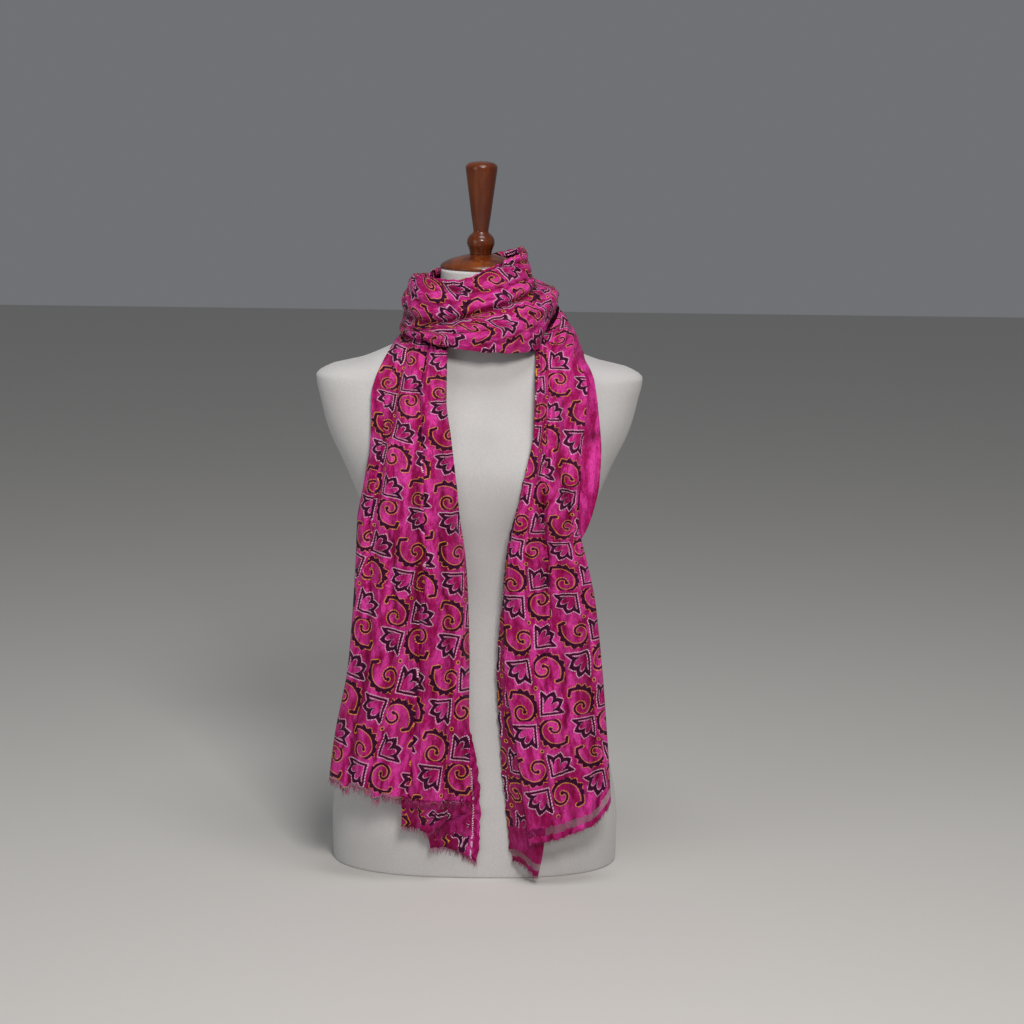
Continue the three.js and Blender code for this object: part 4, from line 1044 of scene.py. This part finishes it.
def scroll_motif(x, y):
    """Distance over a thorned scroll's two edges, a length along it, and the place from its middle."""
    a, b = x - SCROLL["x"], -y + SCROLL["y"]
    radius = hypotenuse(a, b).most(SCROLL["eye"])
    growth = SCROLL["growth"]
    turned = (radius / SCROLL["start"]).node("LOGARITHM", math.e) / growth
    bearing = (b.angle(a) / FULL_TURN + 0.5).fract() * FULL_TURN
    laps = ((turned - bearing) / FULL_TURN + 0.5).floor()
    laps = laps.least(((-bearing + SCROLL["end"]) / FULL_TURN).floor()).most(0.0)
    angle = bearing + laps * FULL_TURN
    arm = (angle * growth).node("EXPONENT") * SCROLL["start"]
    across = (radius - arm) * SCROLL["square"]
    beyond = (angle - SCROLL["end"]) * arm
    length = arm / growth
    width = angle.fade(*SCROLL["thins"]) * -SCROLL["thinner"] + SCROLL["half"]
    spike = (length / THORN["pitch"]).fract() - 0.5
    thorn = (abs(spike) * -2 + 1) * THORN["high"] * angle.above(THORN["from"])
    outside = (across - width - thorn * angle.below(THORN["to"])).most(beyond)
    inside = (-across - width).most(beyond)
    return outside.most(inside), length, a, b, radius


def scroll_foot(a, b):
    """Distance to the short stroke that ends a scroll, inwards from its arm."""
    end = SCROLL["end"]
    reach = SCROLL["start"] * math.exp(SCROLL["growth"] * end)
    tip_x, tip_y = reach * math.cos(end + math.pi), reach * math.sin(end + math.pi)
    along = ((a - tip_x) * FOOT["x"] + (b - tip_y) * FOOT["y"]).most(0.0).least(FOOT["length"])
    return hypotenuse(a - tip_x - along * FOOT["x"], b - tip_y - along * FOOT["y"]) - FOOT["half"]


def thread_line(distance, use):
    """A thread beside a printed edge, at a distance from it."""
    offset, core, edge = THREAD_LINES[use]
    return abs(distance - offset).fade(core, edge)


def together(tree, x, y):
    made = tree.nodes.new("ShaderNodeCombineXYZ")
    tree.links.new(x.socket, made.inputs["X"])
    tree.links.new(y.socket, made.inputs["Y"])
    return made.outputs["Vector"]


def stitched_pattern(tree):
    """Masks over the cloth: the dark printed bands, the white and the golden stitches."""
    where = tree.nodes.new("ShaderNodeUVMap")
    where.uv_map = "cloth"
    axes = tree.nodes.new("ShaderNodeSeparateXYZ")
    tree.links.new(where.outputs["UV"], axes.inputs["Vector"])
    u, v = Term(tree, axes.outputs["X"]), Term(tree, axes.outputs["Y"])
    column, row = (u + 0.5).floor(), (v + 0.5).floor()
    random = tree.nodes.new("ShaderNodeTexWhiteNoise")
    random.noise_dimensions = "3D"
    tree.links.new(together(tree, column, row), random.inputs["Vector"])
    luck = Term(tree, random.outputs["Value"]) - 0.5
    x = (u - column) * STITCH_PITCH["across"] + luck * PLACING["across"]
    y = (v - row) * STITCH_PITCH["along"] - luck * PLACING["along"]
    tilt = luck * PLACING["tilt"]
    x, y = x - y * tilt, y + x * tilt
    sign = (column * 0.5).fract() * 4 - 1
    x, y = x * sign, y * sign
    leafy = -(((column + row) * 0.5).fract() * 2) + 1
    swap = (((row - 1) * 0.5).floor() * 0.5).fract().below(0.25)

    outer, inner, along = leaf_motif(x, y)
    leaf_dark = outer.most(-inner).fade(-SOFT, SOFT)
    dash = (along / LEAF_DASH["pitch"]).fract().above(LEAF_DASH["gap"])
    vein = thread_line(inner, "vein") * VEIN_SHARE
    white = thread_line(outer, "leaf").most(vein) * dash * leafy

    band, length, a, b, radius = scroll_motif(swap.choose(y, x), swap.choose(x, y))
    knot = hypotenuse(a + SCROLL["start"], b) - KNOT
    band = band.least(scroll_foot(a, b)).least(knot)
    dash = (length / SCROLL_DASH["pitch"] + radius * SCROLL_DASH["slip"]).fract()
    dash = dash.above(SCROLL_DASH["gap"])
    gold = thread_line(band, "scroll") * dash * (-leafy + 1)

    dot_x = ((u * 0.5 + 0.25).fract() - 0.5) * (2 * STITCH_PITCH["across"])
    dot_y = ((v * 0.5 + 0.25).fract() - 0.5) * (2 * STITCH_PITCH["along"])
    dot = hypotenuse(dot_x, dot_y) - DOT
    dark = leafy.choose(leaf_dark, band.fade(-SOFT, SOFT)).most(dot.fade(-SOFT, SOFT))
    return u, v, dark, white, gold.most(thread_line(dot, "dot"))


# Materials

def new_material(name, finish):
    """A material with constant values set on its own shader."""
    material = bpy.data.materials.new(name)
    material.use_nodes = True
    shader = material.node_tree.nodes["Principled BSDF"]
    set_values(shader, finish)
    return material, material.node_tree, shader


def colour_mix(tree, factor, first, second):
    """first where factor is 0 and second where it is 1; either may be a colour or a socket."""
    made = tree.nodes.new("ShaderNodeMix")
    made.data_type = "RGBA"
    tree.links.new(factor.socket, made.inputs["Factor"])
    for slot, value in ((made.inputs[6], first), (made.inputs[7], second)):
        if isinstance(value, tuple):
            slot.default_value = (*value, 1)
        else:
            tree.links.new(value, slot)
    return made.outputs[2]


def paint(tree, shader, tone, layers):
    """Colours a shader: a first tone and, over it, each layer's colour by its share."""
    for share, colour in layers:
        tone = colour_mix(tree, share, tone, colour)
    tree.links.new(tone, shader.inputs["Base Color"])


def noise(tree, vector, use):
    scale, detail, stretch = NOISES[use]
    place = tree.nodes.new("ShaderNodeMapping")
    place.inputs["Scale"].default_value = stretch
    tree.links.new(vector, place.inputs["Vector"])
    made = tree.nodes.new("ShaderNodeTexNoise")
    set_values(made, {"Scale": scale, "Detail": detail})
    tree.links.new(place.outputs["Vector"], made.inputs["Vector"])
    return Term(tree, made.outputs["Fac"])


def patches(tree, vector, use):
    """Soft patches of a noise, as the share of a layer's colour."""
    low, high, most = PATCHES[use]
    return noise(tree, vector, use).fade(low, high) * most


def add_bump(tree, shader, height, use):
    strength, distance = BUMPS[use]
    made = tree.nodes.new("ShaderNodeBump")
    set_values(made, {"Strength": strength, "Distance": distance})
    tree.links.new(height.socket, made.inputs["Height"])
    tree.links.new(made.outputs["Normal"], shader.inputs["Normal"])


def object_vector(tree):
    return tree.nodes.new("ShaderNodeTexCoord").outputs["Object"]


def read_mark(tree, name):
    """A number that the mesh carries at its points, 0 where it has none."""
    mark = tree.nodes.new("ShaderNodeAttribute")
    mark.attribute_name = name
    return Term(tree, mark.outputs["Fac"])


def silk_material(name, stitched=True, sheer=False):
    """Crinkled silk: magenta with painted sheen in lighter patches, slub streaks, painted shade in broad
    bands, in the folds and under other layers, running-stitch ripples, and the stitched motifs.
    """
    material, tree, shader = new_material(name, SILK_FINISH)
    u, v, dark, white, gold = stitched_pattern(tree)
    motifs = read_mark(tree, "plain").below(0.5)
    seam = (v * HEM_STITCHES["per_cell"]).fract().above(HEM_STITCHES["gap"])
    seam = read_mark(tree, "stitch").above(0.5) * seam
    dark, white, gold = dark * motifs, (white * motifs).most(seam), gold * motifs
    vector = together(tree, u, v)
    # painted sheen in lighter patches, the yarn's own slub streaks, and painted shade in broad bands along
    # the warp
    layers = [
        (patches(tree, vector, "painted_sheen"), SILK_PAINTED_SHEEN),
        (patches(tree, vector, "slub"), SILK_SLUB_AND_PAINTED_SHADE),
        (patches(tree, vector, "bands"), SILK_SLUB_AND_PAINTED_SHADE),
        # painted shade in the folds and under other layers
        (read_mark(tree, "valley") * PAINTED_SHADE_STRENGTH["valley"], SILK_PAINTED_SHADE),
        (read_mark(tree, "under") * PAINTED_SHADE_STRENGTH["under"], SILK_PAINTED_SHADE),
    ]
    height = noise(tree, vector, "crinkle") + noise(tree, vector, "running") * RELIEF["running"]
    if stitched:
        layers += [(dark, AUBERGINE), (white, WHITE_THREAD), (gold, GOLD_THREAD)]
        height = height + white.most(gold) * RELIEF["thread"]
    paint(tree, shader, SILK, layers)
    add_bump(tree, shader, height, "silk")
    if sheer:
        add_sheer(tree, shader, u)
    return material


def add_sheer(tree, shader, u):
    """Where the weft is pulled out, the band is a see-through grid of warp threads."""
    open_share = read_mark(tree, "sheer")
    threads = abs((u * WARP["per_cell"]).fract() - 0.5) * 2
    cover = threads.fade(*WARP["thread"]) * WARP["solid"] + WARP["haze"]
    alpha = open_share.above(0.5).choose(cover, open_share * 0 + 1)
    tree.links.new(alpha.socket, shader.inputs["Alpha"])


def thread_material():
    material, tree, shader = new_material("frayed_threads", {"Roughness": 0.6})
    paint(tree, shader, THREAD, [(patches(tree, object_vector(tree), "thread"), THREAD_DARK)])
    return material


def jersey_material():
    """Warm off-white jersey with a fine knit and faint soiling."""
    material, tree, shader = new_material("jersey", JERSEY_FINISH)
    vector = object_vector(tree)
    layers = [
        (patches(tree, vector, "soiling"), JERSEY_SOILED),
        (patches(tree, vector, "knit"), JERSEY_KNIT),
    ]
    paint(tree, shader, JERSEY, layers)
    add_bump(tree, shader, noise(tree, vector, "knit"), "jersey")
    return material


def wood_material():
    """Varnished red-brown wood with grain that runs up the turning."""
    material, tree, shader = new_material("varnished_wood", WOOD_FINISH)
    vector = object_vector(tree)
    layers = [
        (patches(tree, vector, "grain"), WOOD_DARK),
        (patches(tree, vector, "cloud"), WOOD_DARKEST),
    ]
    paint(tree, shader, WOOD, layers)
    add_bump(tree, shader, noise(tree, vector, "grain"), "wood")
    return material


# The form and its wooden top

def ring_faces(first, around, rings):
    """Faces between rings of points, each ring above the one before."""
    faces = []
    for start in range(first, first + (rings - 1) * around, around):
        for i in range(around):
            n = (i + 1) % around
            faces.append((start + i, start + n, start + around + n, start + around + i))
    return faces


def form_piece(material):
    around, levels = 180, 220
    z = np.concatenate([[low for low, _ in FORM_FOOT], np.linspace(4, NECK_TOP, levels)])[:, None]
    rounding = np.array([back for _, back in FORM_FOOT] + [0] * levels)[:, None]
    angle = (np.arange(around) + 0.5) / around * FULL_TURN
    c, s = np.cos(angle)[None, :], np.sin(angle)[None, :]
    x = (body_half(z) - rounding) * np.sign(c) * np.abs(c) ** (2 / BODY_POWER)
    reach = np.abs(s) ** (2 / BODY_POWER)
    front = -(body_front(z) - rounding + bust_depth(x, z)) * reach
    back = (body_back(z) - rounding) * reach
    points = np.stack([x, np.where(s >= 0, back, front), z + 0 * x], -1).reshape(-1, 3) * MM
    faces = ring_faces(0, around, len(z))
    faces.append(tuple(range(around - 1, -1, -1)))
    faces.append(tuple((len(z) - 1) * around + i for i in range(around)))
    solid_piece("form_cover", points, faces, material, "form_body")


def turned_piece(name, knots, steps, low, high, around, material, node):
    """A turned solid on the axis from its profile's radius and height, smoothed between the knots."""
    rings = spline(np.array(knots, float), np.linspace(0, 1, steps))
    angle = np.arange(around) / around * FULL_TURN
    vertices = [(0, 0, low * MM)]
    for radius, height in rings:
        vertices += [(radius * math.cos(t) * MM, radius * math.sin(t) * MM, height * MM) for t in angle]
    vertices.append((0, 0, high * MM))
    top = 1 + (steps - 1) * around
    faces = ring_faces(1, around, steps)
    for i in range(around):
        n = (i + 1) % around
        faces += [(0, 1 + n, 1 + i), (top + i, top + n, top + around)]
    solid_piece(name, vertices, faces, material, node)


def wooden_top(material):
    low = NECK_TOP + SEAM
    high = low + CAP_HEIGHT
    r = CAP_RADIUS
    cap = [(r - inset, low + up) for inset, up in CAP_EDGE]
    cap += [(r * share, low + up) for share, up in CAP_CROWN]
    turned_piece("wood_cap", cap, 48, low, high, 120, material, "form_cap")
    low = NECK_TOP + CAP_HEIGHT + 2 * SEAM
    finial = [(radius, low + up) for radius, up in FINIAL_STEM]
    finial += [(radius, FINIAL_TOP - down) for radius, down in FINIAL_HEAD]
    turned_piece("wood_finial", finial, 110, low, FINIAL_TOP, 96, material, "form_finial")


# Fringes

def thread_bones(root, reach, lean, curl):
    """Points down one frayed thread, from just above the hem."""
    t = np.linspace(0, 1, FRINGE["bones"] + 1)[:, None]
    side = (lean[None, :] * t + curl[None, :] * t * t) * reach * FRINGE["strays"]
    drop = (reach + FRINGE["above"]) * t * (1 - FRINGE["lifts"] * abs(lean[0]) * t)
    return root + np.concatenate([side, FRINGE["above"] - drop], 1)


def fringe_piece(name, hem, material):
    """Frayed threads that hang from a hem line, each a thin bent three-sided strand."""
    length, count, node, seed = FRINGES[name]
    draw = np.random.default_rng(seed)
    ends = np.cumsum(np.concatenate([[0], np.linalg.norm(np.diff(hem, axis=0), axis=1)]))
    bones = FRINGE["bones"]
    taper = 1 - FRINGE["taper"] * np.linspace(0, 1, bones + 1)[:, None, None]
    angle = np.arange(3) * FULL_TURN / 3
    ring = np.stack([np.cos(angle), np.sin(angle), 0 * angle], -1)[None]
    vertices, faces = [], []
    for base in range(0, count * 3 * (bones + 1), 3 * (bones + 1)):
        place = draw.uniform(0, ends[-1])
        root = np.array([np.interp(place, ends, hem[:, k]) for k in range(3)])
        reach = length * draw.uniform(*FRINGE["lengths"])
        lean = draw.normal(0, FRINGE["lean"], 2)
        curl = draw.normal(0, FRINGE["curl"], 2)
        width = draw.uniform(*FRINGE["radii"])
        centres = thread_bones(root, reach, lean, curl)[:, None]
        vertices += ((centres + width * taper * ring).reshape(-1, 3) * MM).tolist()
        for start in range(base, base + 3 * bones, 3):
            for a, b in ((start, start + 1), (start + 1, start + 2), (start + 2, start)):
                faces.append((a, a + 3, b + 3, b))
        tip = base + 3 * bones
        faces += [(base, base + 1, base + 2), (tip + 2, tip + 1, tip)]
    return solid_piece(name, vertices, faces, material, node)


# Stage

def stage():
    size = FLOOR_SIZE
    square = [(-size, -size, 0), (size, -size, 0), (size, size, 0), (-size, size, 0)]
    material = new_material("pale_floor", FLOOR_FINISH)[0]
    placed("floor", smooth_mesh("floor", square, [(0, 1, 2, 3)], material))


def lights():
    bpy.context.scene.view_settings.view_transform = "Standard"
    world = bpy.data.worlds.new("studio")
    bpy.context.scene.world = world
    world.use_nodes = True
    set_values(world.node_tree.nodes["Background"], SKY)
    for name, place, size, power, colour in LIGHTS:
        data = bpy.data.lights.new(name, "AREA")
        data.energy, data.size, data.color = power, size, colour
        lamp = placed(name, data)
        lamp.location = place
        lamp.rotation_euler = (Vector(LIGHT_TARGET) - Vector(place)).to_track_quat("-Z", "Y").to_euler()


def camera():
    data = bpy.data.cameras.new("camera")
    data.sensor_width, data.lens = SENSOR, LENS
    data.clip_end = 50
    up = Vector((0, math.sin(CAMERA_PITCH), math.cos(CAMERA_PITCH)))
    ahead = Vector((0, math.cos(CAMERA_PITCH), -math.sin(CAMERA_PITCH)))
    right = Vector((1, 0, 0))
    cos_roll, sin_roll = math.cos(CAMERA_ROLL), math.sin(CAMERA_ROLL)
    across = right * cos_roll + up * sin_roll
    upward = up * cos_roll - right * sin_roll
    turned = Matrix((across, upward, -ahead)).transposed().to_4x4()
    made = placed("camera", data)
    made.matrix_world = Matrix.Translation(CAMERA_PLACE) @ turned
    bpy.context.scene.camera = made


# The shawl

def cloth(piece, fringes=()):
    node, flat = SHEETS[piece.name]
    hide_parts(node)


def fringed(name, fringe, points, cells, material, threads, marks, hidden=0, **halves):
    """A layer of a drape and the frayed threads along its hem."""
    piece = grid_piece(name, points, cells, material, marks, **halves)
    cloth(piece, [fringe_piece(fringe, points[-1, hidden:], threads)])


def between(values, limits):
    return (values > limits[0]) & (values < limits[1])


def height_over_hem(points):
    return points[..., 2] - points[-1:, :, 2]


def tumbled(points, column, shift):
    """Motif cells pushed about, as on creased cloth that shows only parts of its motifs."""
    cells = grain_cells(points, LEFT_INNER_GRAIN, column, flip=-1) + np.array(shift)
    x, z = points[..., 0], points[..., 2]
    return cells + TUMBLE * np.stack([ripple(z, x), ripple(x, z / 2)], -1)


def bare_patches(points):
    """Where creased cloth shows no motif."""
    return ripple(points[..., 2] / 3, points[..., 0] / 2) > 0.1


def build_left(silk, open_silk, threads):
    front = layer_grid(left_front, LEFT_TOP, "left")
    outer_cells = grain_cells(front, LEFT_GRAIN, LEFT_COLUMN, flip=-1)
    inner_cells = grain_cells(front, LEFT_INNER_GRAIN, LEFT_INNER_COLUMN, flip=-1)
    c = np.linspace(0, 1, front.shape[1])[None, :]
    share, more = INNER_GRAIN_TO
    past = c < track(LEFT_TUCKS[0], "z", "at")(front[..., 2]) * share + more
    marks = {"sheer": height_over_hem(front) < LEFT_HEM_SHEER}
    halves = {"split": past, "other": inner_cells}
    fringed("panel_left", "fringe_left", front, outer_cells, open_silk, threads, marks, **halves)

    surface = left_behind(left_middle_edge, **MIDDLE_LAYER)
    middle = layer_grid(surface, UNDER_TOP, "left_middle", -STACK)
    cells = tumbled(middle, LEFT_INNER_COLUMN + 1, MIDDLE_SHIFT)
    # painted shade over the whole hidden layer
    marks = {"under": np.full(middle.shape[:2], PAINTED_UNDER_SHADE["middle"]), "plain": bare_patches(middle)}
    fringed("panel_left_middle", "fringe_left_mid", middle, cells, silk, threads, marks, MIDDLE_HIDDEN)

    surface = left_behind(left_back_edge, **BACK_LAYER)
    back = layer_grid(surface, UNDER_TOP, "left_back", -2 * STACK)
    cells = tumbled(back, LEFT_INNER_COLUMN, BACK_SHIFT)
    beside = back[..., 0] - left_back_edge["inner"](back[..., 2])
    strip = PLAIN_STRIP["left_back"]
    # painted shade under the front, fading out over the plain strip
    marks = {
        "plain": (beside > -strip) | bare_patches(back),
        "stitch": np.abs(beside + strip - HEM_STITCHES["in"]) < HEM_STITCHES["half"],
        "under": mix(PAINTED_UNDER_SHADE["back"], PAINTED_UNDER_SHADE["strip"], smooth((beside + 2 * strip) / strip)),
    }
    fringed("panel_left_back", "fringe_left_low", back, cells, silk, threads, marks)
    return np.where(past[0, :, None], inner_cells[0], outer_cells[0])


def build_right(open_silk, plain, threads):
    front = layer_grid(right_front, RIGHT_TOP, "right")
    cells = grain_cells(front, RIGHT_GRAIN, RIGHT_COLUMN)
    above = height_over_hem(front)
    marks = {"plain": above < PLAIN_STRIP["right_hem"], "sheer": between(above, SHEER_BANDS["front"])}
    fringed("panel_right", "fringe_right", front, cells, open_silk, threads, marks)

    back = layer_grid(right_behind, UNDER_TOP, "right_back", RIGHT_FOLD_DEPTH)
    above = height_over_hem(back)
    # painted shade over the whole layer behind
    marks = {
        "under": np.full(above.shape, PAINTED_UNDER_SHADE["back"]),
        "plain": above < PLAIN_STRIP["right_back_hem"],
        "sheer": between(above, SHEER_BANDS["back"]),
    }
    back_cells = arc_cells(back, 0.3, 0.2)
    fringed("panel_right_back", "fringe_right_low", back, back_cells, open_silk, threads, marks)

    strip = selvedge_grid()
    piece = grid_piece("selvedge", strip, arc_cells(strip, 0, 0), plain)
    cloth(piece)
    return cells[0]


def build_turn(silk):
    for name, start, end, columns, rows, creases in TURN_STRETCHES:
        points = turn_grid(start, end, columns, rows, creases)
        cells = arc_cells(points, 0.2, 0.4, swap=True) * NECK_MOTIFS
        bearing = np.linspace(start, end, columns + 1)[None, :]
        low = np.linspace(0, 1, rows + 1)[:, None] > NECK_BORDER["rows"]
        border = low & between(bearing, NECK_BORDER["bearings"])
        cloth(grid_piece(name, points, cells, silk, {"plain": border}))


def joined_cells(points, below, wider=1.0):
    """Motif cells of a strand that runs on from the cells along the top of the drape below it."""
    columns = points.shape[1]
    share = np.linspace(0, wider, columns)
    known = np.linspace(0, 1, len(below))
    foot = np.stack([np.interp(share, known, below[:, k]) for k in (0, 1)], -1)
    past = np.maximum(share - 1, 0)[:, None]
    span = JOIN_SPAN + 1
    foot = foot + past * (below[-1] - below[-span]) / (known[-1] - known[-span])
    across, down = arc(points, 1), arc(points, 0)
    middle = columns // 2
    height = down[-1:] - down
    spread = (across - across[:, middle:middle + 1]) / STITCH_PITCH["across"]
    way = np.sign(foot[-1, 0] - foot[0, 0])
    loose = foot[middle, 0] + way * spread
    cell_u = mix(foot[None, :, 0], loose, smooth(height / JOIN_REACH))
    return np.stack([cell_u, foot[None, :, 1] - height / STITCH_PITCH["along"]], -1)


def build_shoulders(silk, left_cells, right_cells):
    rows = drape_top_rows(left_front, LEFT_TOP, HEMS["left"])
    points = shoulder_grid("left", SHOULDER_LEFT, rows, left_folds, LEFT_TOP[0], 1)
    cloth(grid_piece("strand_left", points, joined_cells(points, left_cells), silk))
    wider = STRAND_WIDER
    points = shoulder_grid(
        "right", SHOULDER_RIGHT, strand_foot_rows, right_folds, RIGHT_TOP[0], wider
    )
    share = np.linspace(0, wider, points.shape[1])[None, :]
    down = np.linspace(0, 1, points.shape[0])[:, None]
    marks = {"plain": share > mix(*STRAND_PLAIN, down)}
    cloth(grid_piece("strand_right", points, joined_cells(points, right_cells, wider), silk, marks))


lights()
camera()
stage()
silk = silk_material("stitched_silk")
open_silk = silk_material("stitched_silk_with_open_band", sheer=True)
plain = silk_material("plain_silk", stitched=False)
threads = thread_material()
form_piece(jersey_material())
wooden_top(wood_material())
left_cells = build_left(silk, open_silk, threads)
right_cells = build_right(open_silk, plain, threads)
build_turn(silk)
build_shoulders(silk, left_cells, right_cells)
